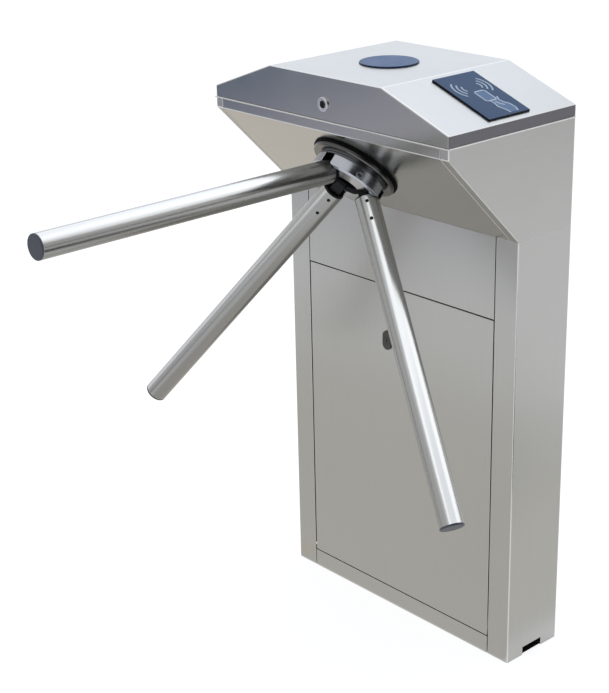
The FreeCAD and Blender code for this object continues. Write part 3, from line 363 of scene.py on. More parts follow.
# Moulded rubber: matt black, with hardly a highlight.
ring_rubber = bodied("rubber_ring_moulded", "#0A0B0C", "#101113", 0.0, 0.62, 0.74, 18, 0.8, 0.12, 0.08)
# Moulded nylon: black with a soft sheen on its round edges.
stop_nylon = bodied("nylon_stop_moulded", "#0C0D0F", "#15161A", 0.0, 0.44, 0.58, 14, 0.7, 0.15, 0.2)
# Anodised aluminium: a smooth black that keeps a grey edge light.
knuckle_black = bodied("aluminium_knuckle_anodised", "#0E0F12", "#17181C", 0.0, 0.40, 0.54, 14, 0.7, 0.08,
                       0.25)
# Black oxide: dull, so holes and sockets sink into it; in the hollow of the drum the same black is painted
# shade.
oxide_black_and_shade = bodied("black_oxide_and_painted_shade", "#0D0E10", "#17181B", 0.0, 0.45, 0.60, 8, 0.8, 0.08, 0.2)
# Grained plastic: slate grey with a broad, dull highlight.
cap_abs = bodied("abs_cap_moulded", "#434853", "#575A62", 0.0, 0.40, 0.52, 12, 0.9, 0.15)
# Milled aluminium: pale, with a soft gleam.
milled_aluminium = bodied("aluminium_milled", "#BFC1C3", "#CFD1D2", 1.0, 0.26, 0.38, 20, 0.6, 0.05)
# Ground steel: darker, with a closer shine.
ground_steel = bodied("steel_ground", "#A2A3A6", "#B6B7B9", 1.0, 0.18, 0.30, 10, 0.5, 0.04)
# Pressed steel: an even grey that parts the hinges from the sheet.
hinge_steel = bodied("steel_hinge_pressed", "#8E9092", "#9EA0A2", 1.0, 0.24, 0.34, 12, 0.6, 0.05)
# Lacquer: warm dark grey with a gentle gloss.
lock_paint = bodied("zinc_lock_lacquered", "#3E3D38", "#4C4B45", 0.0, 0.34, 0.46, 10, 0.8, 0.08)
# Zinc plating: cool and slightly cloudy.
coil_zinc = bodied("steel_case_zinc_plated", "#9A9E9F", "#B3B6B4", 1.0, 0.30, 0.42, 16, 0.8, 0.05)
# The same on thin sheet, duller.
supply_zinc = bodied("steel_cage_zinc_plated", "#979C9F", "#ABAFB1", 1.0, 0.34, 0.46, 22, 0.9, 0.05)
# Powder coat: pale grey with the fine dimples of orange peel.
box_powder = bodied("steel_box_powder_coated", "#B9BCBA", "#C6C8C6", 0.0, 0.42, 0.52, 60, 1.6, 0.12)
# Tinted acrylic with ink behind it: an even blue.
disc_acrylic = bodied("acrylic_disc_tinted", "#44638D", "#4C6B95", 0.0, 0.36, 0.44, 40, 1.2, 0.02, 0.08)
# Its sawn edge: dark, since little light comes out.
rim_acrylic = bodied("acrylic_disc_edge", "#1B2840", "#22314C", 0.0, 0.30, 0.40, 20, 1.2, 0.02, 0.15)
# Smoked acrylic: slate blue under a thin gloss.
reader_acrylic = bodied("acrylic_reader_smoked", "#2A4B71", "#32547A", 0.0, 0.28, 0.36, 60, 1.2, 0.01, 0.10)
# Its edge: nearly black.
edge_acrylic = bodied("acrylic_reader_edge", "#0E1116", "#161A21", 0.0, 0.30, 0.40, 20, 1.2, 0.02, 0.15)
print("materials so far:", len(bpy.data.materials))

# %% [markdown]
# ## Galvanised plate
# The base plate and the brackets are hot-dip galvanised.  Zinc freezes in flat crystals, the
# spangle, each tilted its own way, so neighbouring cells differ in tone and gloss.  A Voronoi
# texture gives such cells directly; spangle on plate is about 10 mm across.

# %% Spangled zinc
# Tilted crystals: a cool grey that glitters patch by patch.
SPANGLE_MM = 10
galvanised, tree = blank_finish("steel_plate_galvanised")
place = put(tree, "ShaderNodeTexCoord")
spangle = put(tree, "ShaderNodeTexVoronoi", {"Vector": place.outputs["Object"], "Scale": 1000 / SPANGLE_MM})
tone = put(tree, "ShaderNodeSeparateColor", {0: spangle.outputs["Color"]})
base = put(tree, "ShaderNodeMix", {0: tone.outputs[0], 6: colour("#989DA1"), 7: colour("#B4B9BC")},
           data_type="RGBA")
rough = put(tree, "ShaderNodeMapRange", {"Value": tone.outputs[1], 3: 0.32, 4: 0.50})
surface(tree, put(tree, "ShaderNodeBsdfPrincipled", {
    "Base Color": base.outputs[2], "Metallic": 1.0, "Roughness": rough.outputs[0]}))
print(galvanised.name, "with cells of", SPANGLE_MM, "mm")

# %% [markdown]
# ## Finishes for the solids that stay
# A solid that already has the right shape keeps its mesh and only gets a finish.  The record names a
# material slot for each node, so a table from slot to finish dresses them all at once.  Five nodes differ
# from the rest of their slot: the flange is painted darker than the drum on it as painted shade, the drop
# rod and the plug of the lid lock are blackened, and the two halves of the lid hinges are pressed steel.

# %% Dress the solids
FINISH = {
    "brushed_stainless": sheet_steel, "satin_tube": tube_steel, "galvanised_plate": galvanised,
    "polished_hub": hub_chrome, "black_knuckle": knuckle_black, "black_rubber": ring_rubber,
    "black_plastic": stop_nylon, "grey_cap": cap_abs,
    "machined_aluminium": milled_aluminium, "ground_steel": ground_steel, "solenoid_case": coil_zinc,
    "lock_chrome": lock_chrome, "lock_black": lock_paint, "indicator_blue": disc_acrylic,
    "reader_slate": reader_acrylic, "supply_steel": supply_zinc, "control_grey": box_powder,
}
# The flange's dark finish is painted shade.
OWN = {"hub_flange": flange_painted_shade, "drop_rod": oxide_black_and_shade, "lid_lock_plug": oxide_black_and_shade,
       "lid_hinge_leaves": hinge_steel, "lid_hinge_flaps": hinge_steel}
SLOT = {part["node"]: part["material_slot"] for part in frame["record"]["subparts"]}
DRESS = {node: OWN.get(node, FINISH[slot]) for node, slot in SLOT.items()}
for name, solid in frame["nodes"].items():
    for place in solid.material_slots:
        place.material = DRESS[name]
print("dressed", len(DRESS), "solids in", len(set(DRESS.values())), "finishes")

# %% [markdown]
# ## Rounded folds
# A press brake leaves a small radius on every fold, and a grinder breaks the cut edges.  A solid has razor
# edges, which catch no light.  The bevel could be drawn by hand, but a Bevel modifier that reads a weight on
# each edge does it from one rule: an edge between two wide faces is a fold and takes the full radius, an
# edge beside the thin cut face takes a fraction.  The new faces get the second material, because a fold is
# burnished by the tool and by sleeves; where that is the lighter fold finish, its extra brightness is a
# painted highlight.

# %% Piece helpers
def as_mesh(shape, name):
    """A mesh from a bmesh, which is freed."""
    mesh = bpy.data.meshes.new(name)
    shape.to_mesh(mesh)
    shape.free()
    return mesh


def cut_away(piece, cutter):
    """Take the cutter out of a piece with a Boolean modifier."""
    carve = piece.modifiers.new("carved", "BOOLEAN")
    carve.operation = "DIFFERENCE"
    carve.solver = "EXACT"
    carve.object = cutter


def bevelled(piece, width_mm):
    """Round the weighted edges of a piece with a Bevel modifier."""
    bevel = piece.modifiers.new("rounded_edges", "BEVEL")
    bevel.limit_method = "WEIGHT"
    bevel.width = width_mm * MM
    bevel.segments = 3
    bevel.harden_normals = True
    return bevel


def settle(piece):
    """Bake the modifiers into a plain mesh."""
    bpy.context.view_layer.update()
    view = piece.evaluated_get(bpy.context.evaluated_depsgraph_get())
    mesh = bpy.data.meshes.new_from_object(view)
    piece.modifiers.clear()
    piece.data = mesh
    return piece


END_GRAIN = 0.2


def lay_grain(mesh, direction):
    """A UV map in metres, with U along the brushing."""
    layer = mesh.uv_layers.new(name="grain")
    for face in mesh.polygons:
        along = direction - direction.dot(face.normal) * face.normal
        if along.length < END_GRAIN:
            along = face.normal.orthogonal()
        along.normalize()
        across = face.normal.cross(along)
        for corner in face.loop_indices:
            point = mesh.vertices[mesh.loops[corner].vertex_index].co
            layer.data[corner].uv = (point.dot(along), point.dot(across))


def stand_in(piece, node, grain):
    """Bake a piece, lay its grain and let it take the place of a solid."""
    settle(piece)
    lay_grain(piece.data, Vector(grain))
    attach(piece, frame["nodes"][node]["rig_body"])
    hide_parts(node)
    return piece


# %% Edge rule
UP, ALONG, DEEP = (0, 0, 1), (1, 0, 0), (0, 1, 0)
THIN, WELD = 4 * MM, 0.01 * MM
FLAT, FOLD, CREASE = (math.radians(angle) for angle in (0.5, 15, 20))


def softened(node, fold_mm, cut_mm, finishes, grain=UP, reach=None, cutter=None):
    """A copy of a solid with its folds and cut edges rounded; it stands in for the solid."""
    shape = bmesh.new()
    shape.from_mesh(frame["nodes"][node].data)
    bmesh.ops.remove_doubles(shape, verts=shape.verts, dist=WELD)
    bmesh.ops.dissolve_limit(shape, angle_limit=FLAT, verts=shape.verts, edges=shape.edges)
    for corner in shape.verts:
        corner.co += reach(corner.co) if reach else Vector()
    wide = {face: 2 * face.calc_area() / face.calc_perimeter() > THIN for face in shape.faces}
    weight = shape.edges.layers.float.new("bevel_weight_edge")
    for edge in shape.edges:
        if len(edge.link_faces) == 2 and edge.is_convex and edge.calc_face_angle() > FOLD:
            edge[weight] = 1.0 if all(wide[face] for face in edge.link_faces) else cut_mm / fold_mm
    mesh = as_mesh(shape, node + "_sheet")
    if "custom_normal" in mesh.attributes:
        mesh.attributes.remove(mesh.attributes["custom_normal"])
    mesh.materials.clear()
    for finish in finishes:
        mesh.materials.append(finish)
    mesh.polygons.foreach_set("material_index", [0] * len(mesh.polygons))
    mesh.shade_smooth()
    mesh.set_sharp_from_angle(angle=CREASE)
    piece = new_piece(node + "_rounded", mesh)
    bevel = bevelled(piece, fold_mm)
    bevel.material = len(finishes) - 1
    bevel.use_clamp_overlap = False
    if cutter:
        cut_away(piece, cutter)
    return stand_in(piece, node, grain)


print("faces less than", round(THIN / MM), "mm wide count as cut edges")

# %% Cabinet sheets
# node: radius of its folds and of its cut edges in mm, brushing direction
CABINET = {
    "left_post": (1.6, 0.4, UP), "right_post": (1.6, 0.4, UP), "upper_panel": (0.8, 0.4, UP),
    "bottom_rail": (0.8, 0.4, ALONG), "back_panel": (1.2, 0.5, UP),
    "left_cheek": (1.6, 0.7, DEEP), "right_cheek": (1.6, 0.7, DEEP), "head_fascia": (1.6, 0.6, ALONG),
    "head_back": (1.2, 0.5, ALONG), "lid_shell": (1.8, 0.3, ALONG),
}
NEAR = 0.2 * MM
SHADOW = 1.2 * MM


def set_back(node):
    """Both ends of a panel moved in, so that the seam beside it reads as a dark line."""
    low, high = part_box(node)

    def inward(point):
        return Vector((SHADOW * ((point.x < low[0] + NEAR) - (point.x > high[0] - NEAR)), 0, 0))

    return inward


cabinet = {}
for node, (fold_mm, cut_mm, grain) in CABINET.items():
    skin = slope_steel if node == "head_fascia" else sheet_steel
    between_posts = node in ("upper_panel", "bottom_rail")
    edge = sheet_steel if between_posts else burnished_fold_and_highlight
    reach = set_back(node) if between_posts else None
    cabinet[node] = softened(node, fold_mm, cut_mm, (skin, edge), grain, reach=reach)
    print(cabinet[node].name, len(cabinet[node].data.polygons), "faces")

# %% [markdown]
# ## The rim under the lid
# A thin bright line runs round the seam in the photograph: the flat rim that the lid rests on looks
# out a little in front of the sheets and shows its polished top.  The solid rim ends just behind
# them, so the copy moves its outer corners out before its edge is rounded.

# %% Proud rim
LIP = 2.6 * MM
rim_low, rim_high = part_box("lid_rim")


def out_of_the_seam(point):
    """Outwards at the front and at both ends, and nowhere at the hinges."""
    across = LIP * ((point.x > rim_high[0] - NEAR) - (point.x < rim_low[0] + NEAR))
    return Vector((across, -LIP * (point.y < rim_low[1] + NEAR), 0))


# The rim takes the lighter fold finish all over, partly a painted highlight for the bright line.
rim = softened("lid_rim", 1.0, 0.9, (burnished_fold_and_highlight, burnished_fold_and_highlight), ALONG, reach=out_of_the_seam)
print(rim.name, "is", [round(v * 1000) for v in rim.dimensions], "mm")

# %% [markdown]
# ## The door
# The door is one blank folded into a shallow pan: a skin and four edges turned in.  Sheet like this
# is easiest as a single surface: an open box, its four front edges bevelled to the fold radius,
# and then a Solidify modifier that gives the sheet its 1.5 mm on the inside.

# %% Folded door
STRAIGHT = 0.9


def folded_pan(node, wall_mm, fold_mm, grain):
    """An open box of sheet metal in the place of a solid, with its back left open."""
    low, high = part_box(node)
    ease = (SHADOW, 0, SHADOW)
    shape = bmesh.new()
    bmesh.ops.create_cube(shape, size=1.0)
    for corner in shape.verts:
        corner.co = Vector(low[i] + ease[i] if corner.co[i] < 0 else high[i] - ease[i]
                           for i in range(3))
    rear = [face for face in shape.faces if face.normal.y > STRAIGHT]
    bmesh.ops.delete(shape, geom=rear, context="FACES")
    weight = shape.edges.layers.float.new("bevel_weight_edge")
    for edge in shape.edges:
        edge[weight] = 1.0 if len(edge.link_faces) == 2 else 0.0
    mesh = as_mesh(shape, node + "_pan")
    mesh.materials.append(sheet_steel)
    mesh.shade_smooth()
    piece = new_piece(node + "_pan", mesh)
    bevelled(piece, fold_mm)
    thick = piece.modifiers.new("sheet_thickness", "SOLIDIFY")
    thick.thickness = wall_mm * MM
    thick.offset = -1
    return stand_in(piece, node, grain)


door = folded_pan("door_panel", 1.5, 1.0, UP)
print(door.name, "is", [round(v * 1000) for v in door.dimensions], "mm")

# %% [markdown]
# ## Hub castings and fittings
# The hub, the knuckles, the stops, the hinges and the locks are castings, mouldings and pressings
# with soft edges.  The same rule serves, with one finish for face and edge.

# %% Softened castings
# node: radius of its edges in mm
ROUNDING = {
    "hub_drum": 0.9, "hub_flange": 0.8, "hub_seal": 0.8, "indicator_lens": 0.8, "reader_window": 0.7,
    "lid_lock_body": 0.9, "door_lock_body": 1.0, "lid_hinge_leaves": 0.3, "lid_hinge_flaps": 0.3,
}
for number in (1, 2, 3):
    ROUNDING[f"arm_{number}_knuckle"] = 1.0
    ROUNDING[f"arm_{number}_stop"] = 1.2
    ROUNDING[f"arm_{number}_cap"] = 0.6
cast = {node: softened(node, size, size, (DRESS[node],)) for node, size in ROUNDING.items()}
print("softened", len(cast), "castings and mouldings")

# %% [markdown]
# ## Faces with a finish of their own
# The slots and the bore of the drum are painted black as painted shade, so the arms seem to grow out of
# shadow.  The disc and the reader plate are clear acrylic with ink behind the face: light is lost at their
# sawn edges, which look almost black.  The end lips of the lid are painted darker than the belt-brushed
# sheet, as painted shade.  A test picks such faces one by one; loose pieces would do it too, but then the
# edges could not stay rounded.

# %% Second finishes
HUB_CENTRE = Vector((0, -152.156, 828.156)) * MM
HUB_TILT = math.radians(135)
DRUM_FRONT, FRONT_SLACK = 36 * MM, 1 * MM
MOSTLY, PARTLY, HARDLY = 0.8, 0.3, 0.2
hub_axes = Matrix.Translation(HUB_CENTRE) @ Matrix.Rotation(HUB_TILT, 4, "X")
to_hub = hub_axes.inverted()


def repaint(piece, finish, chosen):
    """Give another finish to the faces that the test chooses."""
    piece.data.materials.append(finish)
    last = len(piece.data.materials) - 1
    picked = [face for face in piece.data.polygons if chosen(face)]
    for face in picked:
        face.material_index = last
    print(piece.name, len(picked), "faces in", finish.name)


def in_the_hollow(face):
    """True in the slots, the arm beds and the bore of the drum, whose black is painted shade."""
    middle = to_hub @ face.center
    facing = to_hub.to_3x3() @ face.normal
    outward = Vector((middle.x, middle.y, 0)).normalized()
    on_front = facing.z > STRAIGHT and middle.z > DRUM_FRONT - FRONT_SLACK
    return not (on_front or facing.z < -PARTLY or facing.dot(outward) > PARTLY)


def off_the_plate(face):
    """True beside the upper face of the reader plate and under it."""
    return face.normal.dot(plate_normal) < MOSTLY


def on_end_lip(face):
    """True on the outside of both ends of the lid, with the corner fold towards the front."""
    outward = math.copysign(face.normal.x, face.normal.x * face.center.x)
    return outward > PARTLY and abs(face.normal.z) < HARDLY


plate_normal = max(cast["reader_window"].data.polygons, key=lambda face: face.area).normal.copy()
repaint(cabinet["lid_shell"], slope_steel, lambda face: face.normal.y < -STRAIGHT)
# The end lips take the darker finish: painted shade.
repaint(cabinet["lid_shell"], lip_painted_shade, on_end_lip)
# The hollow of the drum is painted black: painted shade in its recesses.
repaint(cast["hub_drum"], oxide_black_and_shade, in_the_hollow)
repaint(cast["indicator_lens"], rim_acrylic, lambda face: face.normal.z < STRAIGHT)
repaint(cast["reader_window"], edge_acrylic, off_the_plate)

# %% [markdown]
# ## Key slots
# A key plug needs its slot.  It is milled on the real plug, and a Boolean cut is the same move here:
# a slim block with one stepped side, as keys have, sinks into the face of each plug.

# %% Key slots
KEYWAYS = {"lid_lock_plug": (0, -221.0, 937.0), "door_lock_plug": (-22.0, -65.0, 505.0)}
KEY_OUTLINE = ((-0.8, -3.2), (0.8, -3.2), (0.8, -0.6), (1.5, -0.6),
               (1.5, 0.8), (0.8, 0.8), (0.8, 3.2), (-0.8, 3.2))
KEY_ENDS = (-2.0, 5.0)
PLUG_EDGE = 0.4


def key_cutter(x, y, z):
    """The shape of a key blade, pushed through the face of a plug along Y."""
    count = len(KEY_OUTLINE)
    corners = [((x + u) * MM, (y + depth) * MM, (z + v) * MM)
               for depth in KEY_ENDS for u, v in KEY_OUTLINE]
    faces = [tuple(range(count)), tuple(range(2 * count - 1, count - 1, -1))]
    faces += [(i, i + count, (i + 1) % count + count, (i + 1) % count) for i in range(count)]
    return new_piece("key_blade", shell("key_blade", corners, faces))


for node, place in KEYWAYS.items():
    blade = key_cutter(*place)
    plug = softened(node, PLUG_EDGE, PLUG_EDGE, (DRESS[node],), cutter=blade)
    bpy.data.objects.remove(blade)
    print(plug.name, len(plug.data.polygons), "faces")

# %% [markdown]
# ## The drawing on the reader
# A reader shows where a card is held: waves to both sides, a card and a hand.  It is printed on the
# plate, so it could be a texture, but a few raised strokes keep a clean edge at any distance.  Each
# stroke is a ribbon along points in millimetres, u down the plate and w towards its back.  The card
# and the hand are filled in with a thinner coat of blue.

# %% Reader strokes
# White ink: pale and flat against the gloss of the plate.
ink = bodied("ink_white_screened", "#C4D2DE", "#D0DCE6", 0.0, 0.50, 0.60, 20, 0.8, 0.02, 0.2)
# A thin coat of blue: a little lighter than the plate under it.
tint_ink = bodied("ink_blue_screened", "#6C86A8", "#748EB0", 0.0, 0.50, 0.60, 20, 0.8, 0.02, 0.2)
INK_WIDTH, INK_RISE = 2.8, 0.15
WAVES = (((40, 36), -1), ((39, 57), 1))
WAVE_RADII = (9, 17, 25)
CARD = ((52, 41), (54, 38), (78, 38), (80, 41), (80, 57), (78, 60), (54, 60), (52, 57), (52, 41))
HAND = (((80, 44), (88, 46), (98, 44), (109, 50), (117, 52)),
        ((74, 66), (82, 62), (90, 64), (96, 70), (108, 72), (117, 68)),
        ((84, 52), (92, 54), (97, 60)))
TINTED = ((CARD[:-1], 0.08), (HAND[0] + HAND[1][::-1], 0.11))


def wave(centre, side, radius, half=math.radians(48), steps=12):
    """Points of an arc that bulges to one side."""
    turns = [half * (2 * i / steps - 1) for i in range(steps + 1)]
    return [(centre[0] + radius * math.sin(t), centre[1] + side * radius * math.cos(t)) for t in turns]


def ribbon(points):
    """Corners and faces of a raised stroke along points."""
    corners, faces = [], []
    for i, point in enumerate(points):
        ahead = Vector(points[min(i + 1, len(points) - 1)]) - Vector(points[max(i - 1, 0)])
        left = Vector((-ahead.y, ahead.x)).normalized() * INK_WIDTH / 2
        for side, rise in ((1, INK_RISE), (-1, INK_RISE), (-1, 0), (1, 0)):
            corners.append((point[0] + side * left.x, point[1] + side * left.y, rise))
    for i in range(0, len(corners) - 4, 4):
        faces += [(i + 1, i + 5, i + 4, i), (i, i + 4, i + 7, i + 3),
                  (i + 2, i + 6, i + 5, i + 1), (i + 3, i + 7, i + 6, i + 2)]
    end = len(corners) - 4
    faces += [(0, 3, 2, 1), (end + 1, end + 2, end + 3, end)]
    return corners, faces


def coat(points, rise):
    """Corners and faces of a thin filled shape."""
    count = len(points)
    corners = [(u, w, height) for height in (rise, 0) for u, w in points]
    sides = [(i, i + count, (i + 1) % count + count, (i + 1) % count) for i in range(count)]
    return corners, [tuple(range(count)), tuple(range(2 * count - 1, count - 1, -1))] + sides


strokes = [wave(centre, side, radius) for centre, side in WAVES for radius in WAVE_RADII]
strokes += [CARD, *HAND]
print(len(strokes), "strokes and", len(TINTED), "tinted shapes")

# %% Reader drawing
shapes = [(*ribbon(points), 0) for points in strokes]
shapes += [(*coat(points, rise), 1) for points, rise in TINTED]
corners, faces, coats = [], [], []
for more, sides, coat_number in shapes:
    faces += [tuple(i + len(corners) for i in side) for side in sides]
    coats += [coat_number] * len(sides)
    corners += more
plate = cast["reader_window"].data
w_axis = Vector((0, 1, 0))
u_axis = w_axis.cross(plate_normal)
top = [corner.co for corner in plate.vertices]
height = max(point.dot(plate_normal) for point in top)
start = (u_axis * min(point.dot(u_axis) for point in top)
         + w_axis * min(point.dot(w_axis) for point in top) + plate_normal * height)
drawing = shell("reader_drawing", corners, faces)
flat = Matrix((u_axis, w_axis, plate_normal)).transposed().to_4x4()
drawing.transform(Matrix.Translation(start) @ flat @ Matrix.Scale(MM, 4))
drawing.materials.append(ink)
drawing.materials.append(tint_ink)
drawing.polygons.foreach_set("material_index", coats)
print_on_plate = new_piece("reader_drawing", drawing)
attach(print_on_plate, frame["nodes"]["reader_window"]["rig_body"])
print(print_on_plate.name, len(faces), "faces")

# %% [markdown]
# ## The arms
# Each arm is a satin stainless tube pushed over the spigot of its knuckle and held by four set
# screws, two on each of two sides.  The tube is turned from a profile with a broken edge at its
# root; a Boolean modifier drills it.  Boolean faces shade badly on bright metal, so afterwards
# every corner on the round wall gets its true normal, straight out from the axis.

# %% Arm frames
CONE = math.radians(45)
APEX_INSET, HINGE_REACH = 3.7 * MM, 44 * MM
SAG = {1: 0.0, 2: math.radians(1.1), 3: math.radians(1.1)}
TUBE_ROOT, TUBE_TIP, TUBE_RADIUS, TUBE_WALL = 62 * MM, 592 * MM, 19 * MM, 1.2 * MM


def arm_frame(number):
    """The arm's own axes: Z along the tube from the apex, Y away from the shaft."""
    round_the_hub = Matrix.Rotation(math.radians(120 * (number - 1)), 4, "Z")
    return (hub_axes @ Matrix.Translation((0, 0, -APEX_INSET)) @ round_the_hub
            @ Matrix.Rotation(-CONE, 4, "X") @ Matrix.Translation((0, 0, HINGE_REACH))
            @ Matrix.Rotation(SAG[number], 4, "X") @ Matrix.Translation((0, 0, -HINGE_REACH)))


for number in (1, 2, 3):
    tip = arm_frame(number) @ Vector((0, 0, TUBE_TIP))
    print("arm", number, "ends at", tuple(round(v, 3) for v in tip))

# %% Turned tube
BROKEN = 0.4 * MM


def turned_tube(steps=72):
    """A tube along Z, open at both ends, with a broken outer edge at each end."""
    inner, shy = TUBE_RADIUS - TUBE_WALL, TUBE_RADIUS - BROKEN
    profile = [(inner, TUBE_ROOT), (shy, TUBE_ROOT), (TUBE_RADIUS, TUBE_ROOT + BROKEN),
               (TUBE_RADIUS, TUBE_TIP - BROKEN), (shy, TUBE_TIP), (inner, TUBE_TIP)]
    count = len(profile)
    corners, faces = [], []
    for i in range(steps):
        turn = 2 * math.pi * i / steps
        corners += [(r * math.cos(turn), r * math.sin(turn), z) for r, z in profile]
        for j in range(count):
            a, b = i * count + j, i * count + (j + 1) % count
            faces.append((a, (a + count) % (steps * count), (b + count) % (steps * count), b))
    return shell("arm_tube", corners, faces)


print("tube", round((TUBE_TIP - TUBE_ROOT) / MM), "mm long, wall", round(TUBE_WALL / MM, 1), "mm")

# %% Drills
SCREW_SIDES = (math.radians(180), math.radians(90))
SCREW_AT = (10 * MM, 40 * MM)
HOLE = 2.9 * MM
FACE_OUT = Matrix.Rotation(math.radians(-90), 4, "X")


def drills():
    """Round cutters through the wall, one for each set screw."""
    shape = bmesh.new()
    for side in SCREW_SIDES:
        for at in SCREW_AT:
            place = Matrix.Translation((0, TUBE_RADIUS, TUBE_ROOT + at)) @ FACE_OUT
            place = Matrix.Rotation(side, 4, "Z") @ place
            bmesh.ops.create_cone(shape, cap_ends=True, segments=20, radius1=HOLE, radius2=HOLE,
                                  depth=6 * TUBE_WALL, matrix=place)
    return as_mesh(shape, "drills")


cutter = new_piece("drills", drills())
print(len(SCREW_SIDES) * len(SCREW_AT), "drills of", round(2 * HOLE / MM, 1), "mm")

# %% Normals and grain of a tube
ROUND_WALL = 0.98


def round_normals(mesh, axes):
    """True normals on the round walls of a tube; axes is the frame with Z along it."""
    back = axes.inverted()
    normals = []
    for face in mesh.polygons:
        middle = back @ face.center
        facing = back.to_3x3() @ face.normal
        outward = Vector((middle.x, middle.y, 0)).normalized()
        on_wall = abs(facing.dot(outward)) > ROUND_WALL
        for corner in face.loop_indices:
            point = back @ mesh.vertices[mesh.loops[corner].vertex_index].co
            straight = Vector((point.x, point.y, 0)).normalized()
            true = straight if facing.dot(outward) > 0 else -straight
            normals.append(axes.to_3x3() @ true if on_wall else face.normal.copy())
    mesh.normals_split_custom_set(normals)


def tube_grain(mesh, axes):
    """The grain map of a tube: U along it, V round it, in metres."""
    back = axes.inverted()
    layer = mesh.uv_layers.new(name="grain")
    for face in mesh.polygons:
        middle = back @ face.center
        start = math.atan2(middle.y, middle.x)
        for corner in face.loop_indices:
            point = back @ mesh.vertices[mesh.loops[corner].vertex_index].co
            turn = math.atan2(point.y, point.x) - start
            turn = start + (turn + math.pi) % (2 * math.pi) - math.pi
            layer.data[corner].uv = (point.z, turn * TUBE_RADIUS)


print("round walls face outwards by more than", ROUND_WALL)

# %% Drilled tubes
for number in (1, 2, 3):
    axes = arm_frame(number)
    tube = new_piece(f"arm_{number}_drilled_tube", turned_tube())
    tube.data.materials.append(tube_steel)
    cut_away(tube, cutter)
    settle(tube)
    tube.data.transform(axes)
    tube.data.shade_smooth()
    round_normals(tube.data, axes)
    tube_grain(tube.data, axes)
    for only, arms in lit_arms.items():
        if number in arms:
            only.objects.link(tube)
    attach(tube, f"arm_{number}")
    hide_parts(f"arm_{number}_tube")
    print(tube.name, len(tube.data.polygons), "faces")
bpy.data.objects.remove(cutter)

# %% [markdown]
# ## Set screws
# A set screw is a headless screw with a hexagon socket, sunk below the tube's surface.  They repeat,
# so a Geometry Nodes tree makes them: a line of points carries one screw, which is a cylinder less
# a six-sided one.  The tree's sizes are named inputs, set by their identifiers before it first runs.

# %% Set screw tree
def input_names(tree):
    """Identifier of each named input of a geometry tree."""
    return {item.name: item.identifier for item in tree.interface.items_tree
            if item.item_type == "SOCKET" and item.in_out == "INPUT"}


def screw_tree(finish):
    """A row of sunk socket screws along X, with their sockets facing +Z."""
    tree = bpy.data.node_groups.new("set_screw_row", "GeometryNodeTree")
    tree.interface.new_socket("Geometry", in_out="OUTPUT", socket_type="NodeSocketGeometry")
    tree.interface.new_socket("Count", in_out="INPUT", socket_type="NodeSocketInt")
    for label in ("Pitch", "Radius", "Socket", "Length"):
        tree.interface.new_socket(label, in_out="INPUT", socket_type="NodeSocketFloat")
    given = put(tree, "NodeGroupInput").outputs
    step = put(tree, "ShaderNodeCombineXYZ", {0: given["Pitch"]})
    row = put(tree, "GeometryNodeMeshLine", {"Count": given["Count"], "Offset": step.outputs[0]})
    blank = put(tree, "GeometryNodeMeshCylinder", {"Vertices": 24, "Radius": given["Radius"],
                                                   "Depth": given["Length"]})
    key = put(tree, "GeometryNodeMeshCylinder", {"Vertices": 6, "Radius": given["Socket"],
                                                 "Depth": given["Length"]})
    half = put(tree, "ShaderNodeMath", {0: given["Length"], 1: 0.5}, operation="MULTIPLY")
    lift = put(tree, "ShaderNodeCombineXYZ", {2: half.outputs[0]})
    raised = put(tree, "GeometryNodeTransform",
                 {"Geometry": key.outputs["Mesh"], "Translation": lift.outputs[0]})
    screw = put(tree, "GeometryNodeMeshBoolean",
                {"Mesh 1": blank.outputs["Mesh"], "Mesh 2": raised.outputs[0]}, operation="DIFFERENCE")
    copies = put(tree, "GeometryNodeInstanceOnPoints",
                 {"Points": row.outputs[0], "Instance": screw.outputs[0]})
    real = put(tree, "GeometryNodeRealizeInstances", {"Geometry": copies.outputs[0]})
    painted = put(tree, "GeometryNodeSetMaterial", {"Geometry": real.outputs[0], "Material": finish})
    put(tree, "NodeGroupOutput", {"Geometry": painted.outputs[0]})
    return tree


socket_screws = screw_tree(oxide_black_and_shade)
print(socket_screws.name, "takes", list(input_names(socket_screws)))

# %% Meshes from a tree
def grown(tree, sizes):
    """The mesh that a geometry tree makes from these sizes."""
    holder = new_piece(tree.name, bpy.data.meshes.new(tree.name))
    grow = holder.modifiers.new(tree.name, "NODES")
    grow.node_group = tree
    for label, name in input_names(tree).items():
        grow[name] = sizes[label]
    mesh = settle(holder).data
    bpy.data.objects.remove(holder)
    return mesh


def gather(name, rows, finish):
    """One piece in one finish from (mesh, matrix) pairs."""
    shape = bmesh.new()
    for mesh, place in rows:
        copy = mesh.copy()
        copy.transform(place)
        shape.from_mesh(copy)
    mesh = as_mesh(shape, name)
    mesh.materials.append(finish)
    mesh.polygons.foreach_set("material_index", [0] * len(mesh.polygons))
    return new_piece(name, mesh)


SCREW_PLAY, SCREW_SOCKET, SCREW_LENGTH = 0.15 * MM, 1.6 * MM, 0.9 * MM
row = grown(socket_screws, {"Count": len(SCREW_AT), "Pitch": SCREW_AT[1] - SCREW_AT[0],
                            "Radius": HOLE - SCREW_PLAY, "Socket": SCREW_SOCKET, "Length": SCREW_LENGTH})
print("a row of screws has", len(row.polygons), "faces")

# %% Set screws
SCREW_LIFT = 0.2 * MM
SEAT = TUBE_RADIUS - TUBE_WALL + SCREW_LIFT
